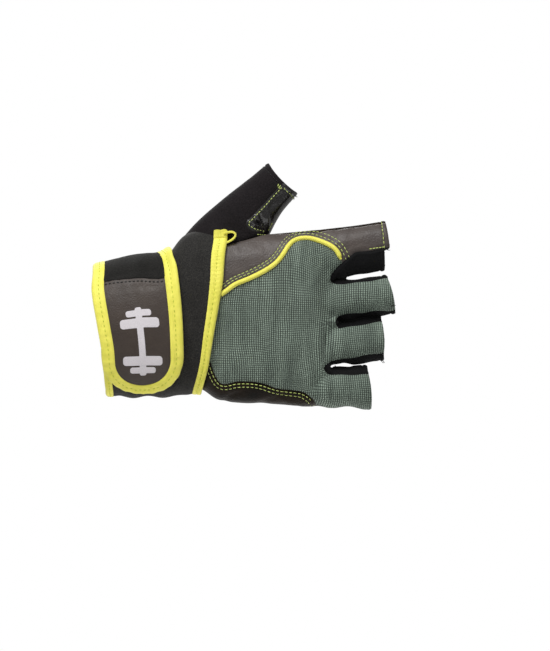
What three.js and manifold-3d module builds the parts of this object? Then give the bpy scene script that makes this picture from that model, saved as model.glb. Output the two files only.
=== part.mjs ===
// A fingerless weightlifting glove for the right hand, in the shape it has when it is worn. Millimetres.
// +X runs from the wrist to the fingers and +Z to the thumb side. -Y is the back of the hand, +Y the palm.
// The origin is the middle of the wrist opening.
import * as THREE from "three";
import Module from "manifold-3d";

const wasm = await Module();
wasm.setup();

// Sizes of the hand that the glove is cut for
const palmLength = 118; // wrist opening to the finger webs
const palmWidth = 86; // across the knuckles
const palmDepth = 38; // back to palm at the wrist
const stallLength = 26; // a finger stall, web to open end
const fingerDepth = 19.5; // back to palm inside a finger stall
const thumbLength = 72; // root of the thumb to the open end of its stall
const thumbWidth = 19; // across the thumb's open end
const thumbDepth = 20; // back to palm inside the thumb stall

// Sizes of the cloth, leather and neoprene
const panelThickness = 1.5;
const neopreneThickness = 2.4;
const patchThickness = 1;
const tapeThickness = 3; // the folded tape with the pressed edge inside it
const tapeWidth = 6.2;
const pipingDiameter = 2.6;
const seamGap = 0.35; // between the edges of two sewn pieces
const layerGap = 0.35; // between two layers that lie on each other

// Sizes of the cuff and strap
const cuffStart = 1.5; // wrist end of the cuff
const cuffTuck = 9; // how far the hand's panels run in under the cuff
const strapWidth = 42;
const strapLength = 158; // from the round tip back to the sewn end
const strapTipAngle = -147; // round the wrist from the thumb side, the back being negative
const patchLength = 62; // the leather on the strap, back from its tip
const patchSlant = 2.5; // how far its straight end leans at each of the strap's edges
const loopPatchWidth = 28;
const loopPatchLength = 26;
const loopPatchThickness = 0.8;

// Heights of the layers over the hand
const cuffTapeBase = panelThickness + layerGap;
const tapeProud = (tapeThickness - neopreneThickness) / 2;
const cuffBase = cuffTapeBase + tapeProud;
const cuffTop = cuffBase + neopreneThickness;
const loopPatchBase = cuffTop + layerGap;
const strapTapeBase = loopPatchBase + loopPatchThickness + layerGap;
const strapBase = strapTapeBase + tapeProud;
const strapTop = strapBase + neopreneThickness;
const patchBase = strapTop - patchThickness;

// How finely the surfaces are cut
const handSides = 38;
const stallSides = 20;
const thumbSides = 24;
const pipingSides = 8;
const farAway = 300;
const finest = 0.08; // features smaller than this, left where two cuts cross, are merged away

// The hand. at: share of palmLength. z: middle, in shares of palmWidth. tilt: degrees that the section
// leans. half: half width, in shares of palmWidth. back, palm: depths, in shares of palmDepth.
// square: 2 is an ellipse, more is squarer.
const handRows = [
  { at: 0.0, z: 0.004, tilt: 5, half: 0.306, back: 0.5, palm: 0.5, square: 2.2 },
  { at: 0.19, z: 0.031, tilt: 5, half: 0.341, back: 0.5, palm: 0.51, square: 2.25 },
  { at: 0.305, z: 0.043, tilt: 5, half: 0.35, back: 0.49, palm: 0.53, square: 2.3 },
  { at: 0.4, z: 0.122, tilt: 4.5, half: 0.414, back: 0.47, palm: 0.56, square: 2.4 },
  { at: 0.51, z: 0.094, tilt: 0, half: 0.454, back: 0.44, palm: 0.6, square: 2.5 },
  { at: 0.61, z: 0.09, tilt: 0, half: 0.468, back: 0.42, palm: 0.59, square: 2.6 },
  { at: 0.71, z: 0.092, tilt: 0, half: 0.474, back: 0.41, palm: 0.54, square: 2.7 },
  { at: 0.85, z: 0.095, tilt: 0, half: 0.488, back: 0.385, palm: 0.45, square: 2.8 },
  { at: 0.93, z: 0.097, tilt: 0, half: 0.497, back: 0.325, palm: 0.345, square: 2.7 },
  { at: 0.97, z: 0.097, tilt: 0, half: 0.498, back: 0.225, palm: 0.235, square: 2.6 },
];
// A knuckle's bulge on the back. at: share of palmLength. z, reach: shares of palmWidth.
// rise: share of palmDepth.
const knuckleRows = [
  { at: 0.86, z: 0.42, reach: 0.12, rise: 0.03 },
  { at: 0.88, z: 0.19, reach: 0.11, rise: 0.04 },
  { at: 0.86, z: -0.04, reach: 0.1, rise: 0.035 },
  { at: 0.8, z: -0.27, reach: 0.11, rise: 0.03 },
];
// The finger stalls. root, end: middle of the stall at the palm and at its open end, in shares of palmWidth.
// rootHalf, endHalf: half widths inside, in shares of palmWidth. lean: degrees that the open end leans.
// reach: length in shares of stallLength.
const stallRows = [
  { name: "index", root: 0.474, end: 0.521, rootHalf: 0.132, endHalf: 0.127, lean: 6, reach: 1.05 },
  { name: "middle", root: 0.206, end: 0.245, rootHalf: 0.095, endHalf: 0.094, lean: 14, reach: 1.11 },
  { name: "ring", root: -0.06, end: -0.012, rootHalf: 0.093, endHalf: 0.092, lean: 4, reach: 0.95 },
  { name: "little", root: -0.31, end: -0.313, rootHalf: 0.091, endHalf: 0.099, lean: 6, reach: 0.7 },
];
// Where the hand's sections are drawn, shares of palmLength: close together where it widens to the thumb
const handCuts = [
  0, 0.1, 0.2, 0.27, 0.3, 0.33, 0.36, 0.39, 0.42, 0.45, 0.48,
  0.51, 0.55, 0.6, 0.66, 0.72, 0.78, 0.84, 0.89, 0.93, 0.955, 0.97,
];
const stallRootAt = 0.86; // where the stalls start inside the palm, share of palmLength
const webAt = handCuts[handCuts.length - 1]; // the inside of the webs
const stallEndDepth = 0.94; // depth at the open end, share of fingerDepth
// The thumb. at: share of thumbLength. x: shares of palmLength. z: shares of palmWidth.
// y: shares of palmDepth. half: shares of thumbWidth. depth: to each side, in shares of thumbDepth.
const thumbRows = [
  { at: 0.0, x: 0.4, y: 0.1, z: 0.25, tilt: 52, half: 0.98, depth: 0.82 },
  { at: 0.34, x: 0.52, y: 0.13, z: 0.49, tilt: 50, half: 0.9, depth: 0.68 },
  { at: 0.66, x: 0.632, y: 0.17, z: 0.688, tilt: 47, half: 0.68, depth: 0.58 },
  { at: 0.85, x: 0.706, y: 0.19, z: 0.806, tilt: 45, half: 0.535, depth: 0.52 },
  { at: 1.0, x: 0.772, y: 0.2, z: 0.895, tilt: 44, half: 0.49, depth: 0.5 },
];

// Seams seen from the back. x: shares of palmLength. z: shares of palmWidth.
const pipingSeamRows = [
  { x: 0.36, z: 0.12 },
  { x: 0.52, z: 0.233 },
  { x: 0.58, z: 0.292 },
  { x: 0.64, z: 0.326 },
  { x: 0.704, z: 0.37 },
  { x: 0.748, z: 0.41 },
  { x: 0.78, z: 0.459 },
  { x: 0.812, z: 0.527 },
  { x: 0.846, z: 0.557 },
  { x: 0.894, z: 0.562 },
  { x: 0.942, z: 0.544 },
  { x: 0.988, z: 0.516 },
  { x: 1.013, z: 0.484 },
  { x: 1.03, z: 0.433 },
];
const palmSeamRows = [
  { x: 0.36, z: -0.05 },
  { x: 0.44, z: -0.1 },
  { x: 0.464, z: -0.162 },
  { x: 0.478, z: -0.227 },
  { x: 0.504, z: -0.279 },
  { x: 0.531, z: -0.294 },
  { x: 0.586, z: -0.284 },
  { x: 0.651, z: -0.284 },
  { x: 0.694, z: -0.298 },
  { x: 0.748, z: -0.32 },
  { x: 0.802, z: -0.331 },
  { x: 0.846, z: -0.347 },
  { x: 0.873, z: -0.376 },
  { x: 0.894, z: -0.417 },
  { x: 0.9, z: -0.5 },
];
const thumbSeamRows = [
  { x: 0.8, z: 0.9 },
  { x: 0.764, z: 0.859 },
  { x: 0.696, z: 0.758 },
  { x: 0.636, z: 0.667 },
  { x: 0.6, z: 0.615 },
  { x: 0.57, z: 0.57 },
];
// The gussets between the fingers: how far each laps onto the stall above and below it. On the back of
// the hand the first one covers half of the index stall.
const gussetRows = [
  { name: "index_middle", above: 2.2, below: 2.2, backAbove: 11 },
  { name: "middle_ring", above: 2.2, below: 2.2, backAbove: 0 },
  { name: "ring_little", above: 2.2, below: 2.6, backAbove: 0 },
];
const gussetRound = 3; // length over which a gusset widens from its tip
const gussetTipBack = 4; // how far its tip lies behind the web
const gussetStep = 0.8; // how far the wider back of the first gusset passes the rest of its outline

// The cuff's edge towards the fingers. z: shares of palmWidth. back, palm: x in shares of palmLength.
const cuffEdgeRows = [
  { z: -0.5, back: 0.4, palm: 0.41 },
  { z: -0.35, back: 0.431, palm: 0.42 },
  { z: -0.185, back: 0.467, palm: 0.425 },
  { z: -0.029, back: 0.488, palm: 0.43 },
  { z: 0.298, back: 0.53, palm: 0.42 },
  { z: 0.449, back: 0.539, palm: 0.4 },
  { z: 0.534, back: 0.548, palm: 0.4 },
  { z: 0.65, back: 0.556, palm: 0.4 },
];
// The strap's width and place. at: share of strapLength back from the tip. centre: x in shares of
// palmLength. half: half width in shares of strapWidth.
const strapRows = [
  { at: 0.0, centre: 0.17, half: 0.478 },
  { at: 0.15, centre: 0.185, half: 0.49 },
  { at: 0.25, centre: 0.184, half: 0.505 },
  { at: 0.38, centre: 0.177, half: 0.515 },
  { at: 0.46, centre: 0.169, half: 0.465 },
  { at: 0.55, centre: 0.166, half: 0.45 },
  { at: 1.0, centre: 0.166, half: 0.45 },
];

// A cubic curve through one column of a table, over the column "key".
function column(rows, name, value, key = "at") {
  let i = 0;
  while (i < rows.length - 2 && value > rows[i + 1][key]) i++;
  const slope = (k) => {
    const a = rows[Math.max(k - 1, 0)];
    const b = rows[Math.min(k + 1, rows.length - 1)];
    return (b[name] - a[name]) / (b[key] - a[key]);
  };
  const [p, q] = [rows[i], rows[i + 1]];
  const span = q[key] - p[key];
  const t = THREE.MathUtils.clamp((value - p[key]) / span, 0, 1);
  const t2 = t * t;
  const t3 = t2 * t;
  return (
    (2 * t3 - 3 * t2 + 1) * p[name] +
    (t3 - 2 * t2 + t) * span * slope(i) +
    (3 * t2 - 2 * t3) * q[name] +
    (t3 - t2) * span * slope(i + 1)
  );
}

const radians = THREE.MathUtils.degToRad;

// A limb gives, at each station, the middle, the lean and the half sizes of a rounded section.
const hand = (at) => ({
  x: at * palmLength,
  y: 0,
  z: column(handRows, "z", at) * palmWidth,
  tilt: column(handRows, "tilt", at),
  half: column(handRows, "half", at) * palmWidth,
  back: column(handRows, "back", at) * palmDepth,
  palm: column(handRows, "palm", at) * palmDepth,
  square: column(handRows, "square", at),
});

const stall = (row) => (at) => {
  const rootX = stallRootAt * palmLength;
  const endX = palmLength + row.reach * stallLength;
  const rise = (row.end - row.root) * palmWidth;
  const run = endX - palmLength;
  const axisTilt = THREE.MathUtils.radToDeg(Math.atan2(rise, run));
  const x = rootX + at * (endX - rootX);
  const along = (x - palmLength) / run; // 0 at the web, 1 at the open end
  const depth = (fingerDepth / 2) * THREE.MathUtils.lerp(1, stallEndDepth, Math.max(along, 0));
  return {
    x,
    y: 0,
    z: row.root * palmWidth + along * rise,
    tilt: THREE.MathUtils.lerp(axisTilt, row.lean, Math.max(along, 0)),
    half: THREE.MathUtils.lerp(row.rootHalf, row.endHalf, Math.max(along, 0)) * palmWidth,
    back: depth,
    palm: depth,
    square: 2.25,
  };
};

// The thumb's rows are placed from its root, so that thumbLength alone sets how far it reaches.
const thumb = (at) => {
  const root = thumbRows[0];
  const tip = thumbRows[thumbRows.length - 1];
  const drawn = Math.hypot((tip.x - root.x) * palmLength, (tip.z - root.z) * palmWidth);
  const stretch = thumbLength / drawn;
  return {
    x: (root.x + (column(thumbRows, "x", at) - root.x) * stretch) * palmLength,
    y: column(thumbRows, "y", at) * palmDepth,
    z: (root.z + (column(thumbRows, "z", at) - root.z) * stretch) * palmWidth,
    tilt: column(thumbRows, "tilt", at),
    half: column(thumbRows, "half", at) * thumbWidth,
    back: column(thumbRows, "depth", at) * thumbDepth,
    palm: column(thumbRows, "depth", at) * thumbDepth,
    square: 2.2,
  };
};

// The bulge of the knuckles at a place on the back of the hand.
function knuckleRise(x, z) {
  return knuckleRows.reduce((sum, row) => {
    const away = Math.hypot(x - row.at * palmLength, z - row.z * palmWidth) / (row.reach * palmWidth);
    return sum + row.rise * palmDepth * Math.exp(-away * away);
  }, 0);
}

// A point of a limb's surface. angle: 0 is the thumb side, 90 the palm and -90 the back.
// lift: height over the hand. shift: along the limb.
function onLimb(limb, at, angle, lift = 0, shift = 0) {
  const s = limb(at);
  const lean = radians(s.tilt);
  const c = Math.cos(radians(angle));
  const d = Math.sin(radians(angle));
  const power = 2 / s.square;
  const across = Math.sign(c) * Math.abs(c) ** power * (s.half + lift);
  const depth = Math.sign(d) * Math.abs(d) ** power * ((d < 0 ? s.back : s.palm) + lift);
  const point = new THREE.Vector3(
    s.x - Math.sin(lean) * across + Math.cos(lean) * shift,
    s.y + depth,
    s.z + Math.cos(lean) * across + Math.sin(lean) * shift,
  );
  if (limb === hand && d < 0) point.y -= knuckleRise(point.x, point.z) * Math.abs(d);
  return point;
}

// A closed solid from rings of points. Each ring has an even number of points.
function loft(rings, closed = false) {
  const n = rings[0].length;
  const faces = [];
  const quad = (p, q, r, s) => faces.push(p, q, r, p, r, s);
  const links = closed ? rings.length : rings.length - 1;
  for (let i = 0; i < links; i++) {
    const a = i * n;
    const b = ((i + 1) % rings.length) * n;
    for (let j = 0; j < n; j++) quad(a + j, b + j, b + ((j + 1) % n), a + ((j + 1) % n));
  }
  if (!closed) {
    const end = (rings.length - 1) * n;
    for (let j = 0; j < n / 2 - 1; j++) {
      quad(j, j + 1, n - 2 - j, n - 1 - j);
      quad(end + n - 1 - j, end + n - 2 - j, end + j + 1, end + j);
    }
  }
  const geometry = new THREE.BufferGeometry().setFromPoints(rings.flat());
  geometry.setIndex(faces);
  return solid(geometry);
}

// The same geometry as a solid with its faces pointing out.
function solid(geometry) {
  const position = geometry.getAttribute("position");
  const index = Array.from(geometry.index.array);
  const [a, b, c] = [new THREE.Vector3(), new THREE.Vector3(), new THREE.Vector3()];
  let volume = 0;
  for (let i = 0; i < index.length; i += 3) {
    a.fromBufferAttribute(position, index[i]);
    b.fromBufferAttribute(position, index[i + 1]);
    c.fromBufferAttribute(position, index[i + 2]);
    volume += a.dot(b.cross(c));
  }
  if (volume < 0) index.reverse();
  return new wasm.Manifold(
    new wasm.Mesh({
      numProp: 3,
      vertProperties: new Float32Array(position.array),
      triVerts: new Uint32Array(index),
    }),
  );
}

const turns = (sides) => Array.from({ length: sides }, (_, j) => ((j + 0.5) * 360) / sides);
const evenCuts = (count) => Array.from({ length: count }, (_, i) => i / (count - 1));

// A filled tube round a limb, a little way over its surface. before, after: how far it runs on past its ends.
function tube(limb, { sides, cuts, lift = 0, before = 0, after = 0 }) {
  const ring = (at, shift) => turns(sides).map((angle) => onLimb(limb, at, angle, lift, shift));
  const rings = cuts.map((at) => ring(at, 0));
  if (before) rings.unshift(ring(cuts[0], -before));
  if (after) rings.push(ring(cuts[cuts.length - 1], after));
  return loft(rings);
}

// An outline in x and z, drawn out along Y.
function prism(outline, low, high) {
  const shape = new THREE.Shape(outline.map(([x, z]) => new THREE.Vector2(x, z)));
  const drawn = merged(new THREE.ExtrudeGeometry(shape, { depth: high - low, bevelEnabled: false }));
  const position = drawn.getAttribute("position");
  for (let i = 0; i < position.count; i++) {
    position.setXYZ(i, position.getX(i), position.getZ(i) > 0 ? high : low, position.getY(i));
  }
  return solid(drawn);
}

// Shared corners become one point, so that the surface is closed.
function merged(geometry) {
  const position = geometry.getAttribute("position");
  const places = new Map();
  const points = [];
  const index = [];
  for (let i = 0; i < position.count; i++) {
    const point = new THREE.Vector3().fromBufferAttribute(position, i);
    const key = point.toArray().map((value) => Math.round(value * 1e4)).join();
    if (!places.has(key)) places.set(key, points.push(point) - 1);
    index.push(places.get(key));
  }
  return new THREE.BufferGeometry().setFromPoints(points).setIndex(index);
}

const onBack = (outline, split = 0) => prism(outline, -farAway, split);
const onPalm = (outline, split = 0) => prism(outline, split, farAway);
const throughBoth = (outline) => prism(outline, -farAway, farAway);
const joined = (solids) => solids.reduce((sum, next) => sum.add(next));

// The largest body of a solid, without the crumbs that a cut can leave.
function mainBody(whole) {
  const bodies = whole.simplify(finest).decompose();
  return bodies.reduce((largest, body) => (body.volume() > largest.volume() ? body : largest));
}

// A smooth line through a table of seam points.
function seamLine(rows, steps) {
  const points = rows.map((row) => new THREE.Vector2(row.x * palmLength, row.z * palmWidth));
  return new THREE.SplineCurve(points).getPoints(steps).map((point) => [point.x, point.y]);
}

// A strip of the given width along a line.
function ribbon(line, width) {
  const side = (sign) =>
    line.map(([x, z], i) => {
      const [x0, z0] = line[Math.max(i - 1, 0)];
      const [x1, z1] = line[Math.min(i + 1, line.length - 1)];
      const long = Math.hypot(x1 - x0, z1 - z0);
      const reach = (sign * width) / 2 / long;
      return [x - reach * (z1 - z0), z + reach * (x1 - x0)];
    });
  return [...side(1), ...side(-1).reverse()];
}

// The hand's hollow and its outer surface
const wholeHand = (lift, ends) =>
  joined([
    tube(hand, { sides: handSides, cuts: handCuts, lift, before: ends, after: lift }),
    ...stallRows.map((row) =>
      tube(stall(row), { sides: stallSides, cuts: evenCuts(5), lift, after: ends }),
    ),
  ]);
const thumbTube = (lift, ends) =>
  tube(thumb, { sides: thumbSides, cuts: evenCuts(9), lift, before: ends / 2, after: ends });
const handHollow = wholeHand(0, cuffTuck);
const thumbHollow = thumbTube(0, cuffTuck);
const thumbPassage = thumbTube(panelThickness + seamGap, cuffTuck);
const handShell = wholeHand(panelThickness, 0).subtract(handHollow).subtract(thumbPassage);

// Regions and cuts of the hand's panels
const cuffEdge = (z, side) => column(cuffEdgeRows, side, z / palmWidth, "z") * palmLength;
const cuffEdgeZ = cuffEdgeRows.map((row) => row.z * palmWidth);
const tuckLine = (side) => [
  [cuffEdge(cuffEdgeZ[0], side) - cuffTuck, -farAway],
  ...cuffEdgeZ.slice(1, -1).map((z) => [cuffEdge(z, side) - cuffTuck, z]),
  [cuffEdge(cuffEdgeZ[cuffEdgeZ.length - 1], side) - cuffTuck, farAway],
];
const beyond = (side) => [
  [farAway, -farAway],
  ...tuckLine(side),
  [farAway, farAway],
];
const pipingSeam = seamLine(pipingSeamRows, 30);
const palmSeam = seamLine(palmSeamRows, 22);

const edgeOfStall = (row, x, sign) => {
  const rootX = stallRootAt * palmLength;
  const endX = palmLength + row.reach * stallLength;
  const s = stall(row)((x - rootX) / (endX - rootX));
  return s.z + sign * (s.half + panelThickness);
};

// The outline of a gusset, with laps of the given widths onto the stalls on each side of the web.
function gussetOutline(i, above, below, tipBack) {
  const [upper, lower] = [stallRows[i], stallRows[i + 1]];
  const tip = webAt * palmLength - tipBack;
  const end = palmLength + stallLength * 1.4;
  const stations = [0.15, 0.5, 1, 4, 10].map((share) => tip + share * gussetRound);
  stations.push(end);
  const widening = (x) => Math.sqrt(Math.min(1, (x - tip) / gussetRound));
  const web = (x) => (edgeOfStall(upper, x, -1) + edgeOfStall(lower, x, 1)) / 2;
  const side = (row, sign, lap) => (x) => [
    x,
    THREE.MathUtils.lerp(web(x), edgeOfStall(row, x, sign) - sign * lap, widening(x)),
  ];
  return [...stations.map(side(upper, -1, above)), ...stations.map(side(lower, 1, below)).reverse()];
}

// A gusset is a region of the shell, with a cut all round it.
const outlineCut = (outline) => ribbon([...outline, outline[0], outline[1]], seamGap);
const gussets = gussetRows.map((row, i) => {
  const outline = gussetOutline(i, row.above, row.below, gussetTipBack);
  if (!row.backAbove) {
    return { name: row.name, region: throughBoth(outline), cut: throughBoth(outlineCut(outline)) };
  }
  const wider = gussetOutline(i, row.backAbove, row.below + gussetStep, gussetTipBack + gussetStep);
  const step = prism(wider, -seamGap / 2, seamGap / 2).subtract(throughBoth(outline));
  return {
    name: row.name,
    region: throughBoth(outline).add(onBack(wider)),
    cut: joined([onPalm(outlineCut(outline)), onBack(outlineCut(wider)), step]),
  };
});

const seamEnd = pipingSeam[pipingSeam.length - 1];
const lowEnd = palmSeam[palmSeam.length - 1];
const fingerSide = [
  [seamEnd[0] + 2, seamEnd[1] - 4],
  [farAway, seamEnd[1] - 4],
];
const knitOutline = [
  ...pipingSeam,
  ...fingerSide,
  [farAway, -farAway],
  [lowEnd[0], -farAway],
  ...palmSeam.toReversed(),
];
const indexOutline = [...pipingSeam, ...fingerSide, [farAway, farAway], [pipingSeam[0][0], farAway]];
const heelOutline = [...palmSeam, [lowEnd[0], -farAway], [-farAway, -farAway], [-farAway, palmSeam[0][1]]];
const allOver = [[-farAway, -farAway], [farAway, -farAway], [farAway, farAway], [-farAway, farAway]];

// The panels of the back and of the palm meet in the plane y = 0, except at the heel of the hand.
const sideSeam = (fromX, fromZ, toZ) =>
  prism([[fromX, fromZ], [farAway, fromZ], [farAway, toZ], [fromX, toZ]], -seamGap / 2, seamGap / 2);
const cuts = joined([
  onBack(ribbon(pipingSeam, pipingDiameter + 2 * seamGap)),
  onBack(ribbon(palmSeam, seamGap)),
  sideSeam(0, stallRows[0].root * palmWidth, farAway),
  sideSeam(lowEnd[0], -farAway, stallRows[3].root * palmWidth),
  ...gussets.map((gusset) => gusset.cut),
]);
const sewn = handShell.subtract(cuts).intersect(onBack(beyond("back")).add(onPalm(beyond("palm"))));
const withoutGussets = (region) => gussets.reduce((rest, gusset) => rest.subtract(gusset.region), region);

// The thumb's panels: cloth outside and on the back, leather towards the fingers and on the palm
const thumbShell = thumbTube(panelThickness, 0).subtract(thumbHollow).subtract(handHollow);
const thumbSplit = column(thumbRows, "y", 0.8) * palmDepth;
const thumbSeam = seamLine(thumbSeamRows, 12);
const thumbSeamFoot = thumbSeam[thumbSeam.length - 1][0];
const thumbLeatherOutline = [...thumbSeam, [thumbSeamFoot, 0], [farAway, 0], [farAway, farAway]];
const thumbLeatherRegion = onBack(thumbLeatherOutline, thumbSplit).add(onPalm(allOver, thumbSplit));
const thumbCut = joined([
  onBack(ribbon(thumbSeam, seamGap), thumbSplit),
  prism(allOver, thumbSplit - seamGap / 2, thumbSplit + seamGap / 2).subtract(
    throughBoth(thumbLeatherOutline),
  ),
]);
const thumbSewn = thumbShell.subtract(thumbCut);

// The wrist: a place on it is a distance along the hand, an angle round it and a height over the hand.
const onWrist = (x, angle, lift) => onLimb(hand, x / palmLength, angle, lift);

// The distance along the hand at which the wrist meets the cuff's edge.
function cuffEnd(angle) {
  let [low, high] = [0, palmLength];
  for (let i = 0; i < 30; i++) {
    const middle = (low + high) / 2;
    const point = onWrist(middle, angle, cuffBase);
    const share = Math.max(Math.sin(radians(angle)), 0); // 0 on the back, 1 on the palm
    const edge = THREE.MathUtils.lerp(cuffEdge(point.z, "back"), cuffEdge(point.z, "palm"), share);
    if (point.x < edge) low = middle;
    else high = middle;
  }
  return low;
}

// A section of a band: its outer and inner faces between two places along the hand, at angles that may differ.
function bandRing([from, fromAngle], [to, toAngle], base, top, across) {
  const face = (lift) =>
    Array.from({ length: across + 1 }, (_, i) => {
      const share = i / across;
      const angle = THREE.MathUtils.lerp(fromAngle, toAngle, share);
      return onWrist(THREE.MathUtils.lerp(from, to, share), angle, lift);
    });
  return [...face(top), ...face(base).reverse()];
}

// A section of folded tape between an edge and the neoprene: the outer corners are cut off.
function tapeRing(edge, inner, angle, base) {
  const top = base + tapeThickness;
  const corner = 0.25 * (inner - edge);
  const flat = 0.22 * tapeThickness;
  return [
    onWrist(inner, angle, top),
    onWrist(edge + corner, angle, top),
    onWrist(edge, angle, top - flat),
    onWrist(edge, angle, base + flat),
    onWrist(edge + corner, angle, base),
    onWrist(inner, angle, base),
  ];
}

const cuffAngles = turns(handSides);
const cuff = loft(
  cuffAngles.map((angle) =>
    bandRing(
      [cuffStart + tapeWidth + seamGap, angle],
      [cuffEnd(angle) - tapeWidth - seamGap, angle],
      cuffBase,
      cuffTop,
      9,
    ),
  ),
  true,
).subtract(thumbTube(panelThickness + seamGap, cuffTuck));
const cuffWristTape = loft(
  cuffAngles.map((angle) => tapeRing(cuffStart, cuffStart + tapeWidth, angle, cuffTapeBase)),
  true,
);
const cuffHandTape = loft(
  cuffAngles.map((angle) => tapeRing(cuffEnd(angle), cuffEnd(angle) - tapeWidth, angle, cuffTapeBase)),
  true,
).subtract(thumbTube(panelThickness + seamGap, cuffTuck));

// The strap lies round the wrist over the cuff. Its length is measured along its middle, back from the tip.
const strapMiddle = column(strapRows, "centre", 0.5) * palmLength;
const angleStep = 1;
const wristGirth = [0];
for (let angle = strapTipAngle; wristGirth.length <= 360 / angleStep; angle += angleStep) {
  const here = onWrist(strapMiddle, angle, strapTop);
  const next = onWrist(strapMiddle, angle + angleStep, strapTop);
  wristGirth.push(wristGirth[wristGirth.length - 1] + here.distanceTo(next));
}
function strapAngle(length) {
  let i = 1;
  while (i < wristGirth.length - 1 && wristGirth[i] < length) i++;
  const share = (length - wristGirth[i - 1]) / (wristGirth[i] - wristGirth[i - 1]);
  return strapTipAngle + (i - 1 + share) * angleStep;
}
const strapHalf = (length) => column(strapRows, "half", length / strapLength) * strapWidth;
const strapCentre = (length) => column(strapRows, "centre", length / strapLength) * palmLength;
const tipRadius = strapHalf(0);
const roundHalf = (length, inset) => {
  const fromCentre = tipRadius - length;
  if (fromCentre <= 0) return strapHalf(length) - inset;
  return Math.sqrt(Math.max((tipRadius - inset) ** 2 - fromCentre ** 2, 0));
};

// Places along the strap: close together round the tip, then evenly to the sewn end.
function strapStations(inset, end, spacing) {
  const quarter = [0.12, 0.35, 0.6, 0.85, 1.1, 1.35, Math.PI / 2];
  const round = quarter.map((turn) => tipRadius - (tipRadius - inset) * Math.cos(turn));
  const count = Math.ceil((end - tipRadius) / spacing);
  const gap = (end - tipRadius) / count;
  const straight = Array.from({ length: count }, (_, i) => tipRadius + gap * (i + 1));
  return [...round, ...straight];
}

// A plate of the strap's outline, inset from its edge. slant: how much its straight end leans.
function strapPlate(inset, end, base, top, across, slant = 0) {
  return loft(
    strapStations(inset, end, 6).map((length) => {
      const half = Math.max(roundHalf(length, inset), 0.5);
      const centre = strapCentre(length);
      const lean = slant * Math.max((length - tipRadius) / (end - tipRadius), 0);
      return bandRing(
        [centre - half, strapAngle(length + lean)],
        [centre + half, strapAngle(length - lean)],
        base,
        top,
        across,
      );
    }),
  );
}

// The tape runs from the sewn end round the tip and back: a closed section follows the edge.
function strapTapePath() {
  const lengths = strapStations(0, strapLength, 6);
  const left = lengths.map((length) => [strapCentre(length) - roundHalf(length, 0), length]);
  const right = lengths.map((length) => [strapCentre(length) + roundHalf(length, 0), length]);
  return [...left.reverse(), [strapCentre(0), 0], ...right];
}
function strapTape() {
  const path = strapTapePath();
  const profile = [
    [tapeWidth, 1],
    [0.25 * tapeWidth, 1],
    [0, 0.78],
    [0, 0.22],
    [0.25 * tapeWidth, 0],
    [tapeWidth, 0],
  ];
  const rings = path.map(([x, length], i) => {
    const [x0, l0] = path[Math.max(i - 1, 0)];
    const [x1, l1] = path[Math.min(i + 1, path.length - 1)];
    const long = Math.hypot(x1 - x0, l1 - l0);
    return profile.map(([inset, share]) => {
      const place = x - (inset * (l1 - l0)) / long;
      const along = length + (inset * (x1 - x0)) / long;
      return onWrist(place, strapAngle(along), strapTapeBase + share * tapeThickness);
    });
  });
  return loft(rings);
}
const bandInset = tapeWidth + seamGap;
const strapWhole = strapPlate(bandInset, strapLength, strapBase, strapTop, 4);
const patchRoom = strapPlate(
  bandInset - 1,
  patchLength + seamGap,
  patchBase - layerGap,
  strapTop + 2,
  4,
  patchSlant,
);
const strap = strapWhole.subtract(patchRoom);
const patch = strapPlate(bandInset, patchLength, patchBase, strapTop, 4, patchSlant);

// The loop patch on the cuff under the strap's tip shows past the tip's rounded corner.
const loopEnd = strapCentre(0) + 0.44 * strapWidth;
const loopPatch = loft(
  [0, 0.25, 0.5, 0.75, 1].map((share) =>
    bandRing(
      [loopEnd - loopPatchWidth, strapAngle(2 + share * loopPatchLength)],
      [loopEnd, strapAngle(2 + share * loopPatchLength)],
      loopPatchBase,
      loopPatchBase + loopPatchThickness,
      4,
    ),
  ),
);

// The piping lies in the seam, half sunk between the panels.
function surfaceDepth(body) {
  const mesh = new THREE.Mesh(geometryOf(body));
  const ray = new THREE.Raycaster();
  return (x, z) => {
    ray.set(new THREE.Vector3(x, -farAway, z), new THREE.Vector3(0, 1, 0));
    const [hit] = ray.intersectObject(mesh);
    return hit ? hit.point.y : 0;
  };
}
function geometryOf(body) {
  const mesh = body.getMesh();
  const geometry = new THREE.BufferGeometry();
  geometry.setAttribute("position", new THREE.BufferAttribute(new Float32Array(mesh.vertProperties), 3));
  geometry.setIndex(new THREE.BufferAttribute(new Uint32Array(mesh.triVerts), 1));
  geometry.computeVertexNormals();
  return geometry;
}
const backDepth = surfaceDepth(wholeHand(panelThickness, 0));
const pipingStart = pipingSeam.findIndex(([x, z]) => x > cuffEdge(z, "back") + seamGap);
const pipingDepth = panelThickness / 2 - 0.4 * pipingDiameter;
const pipingCurve = new THREE.CatmullRomCurve3(
  pipingSeam
    .slice(pipingStart, -1)
    .map(([x, z]) => new THREE.Vector3(x, backDepth(x, z) + pipingDepth, z)),
);
const circle = new THREE.Shape(
  Array.from({ length: pipingSides }, (_, i) => {
    const turn = (2 * Math.PI * i) / pipingSides;
    return new THREE.Vector2((Math.cos(turn) * pipingDiameter) / 2, (Math.sin(turn) * pipingDiameter) / 2);
  }),
);
const piping = solid(
  merged(new THREE.ExtrudeGeometry(circle, { steps: 30, extrudePath: pipingCurve, bevelEnabled: false })),
);

// Materials: colour, roughness
const finish = (color, roughness) => new THREE.MeshStandardMaterial({ color, roughness, metalness: 0 });
const knit = finish(0x55685f, 0.85);
const leather = finish(0x2c2828, 0.45);
const stretchCloth = finish(0x121214, 0.9);
const neoprene = finish(0x1b1b1d, 0.85);
const lime = finish(0xdcee3a, 0.6);
const patchLeather = finish(0x4a4745, 0.5);

const glove = new THREE.Group();
function add(name, body, material) {
  const mesh = new THREE.Mesh(geometryOf(mainBody(body)), material);
  mesh.name = name;
  glove.add(mesh);
}

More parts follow.
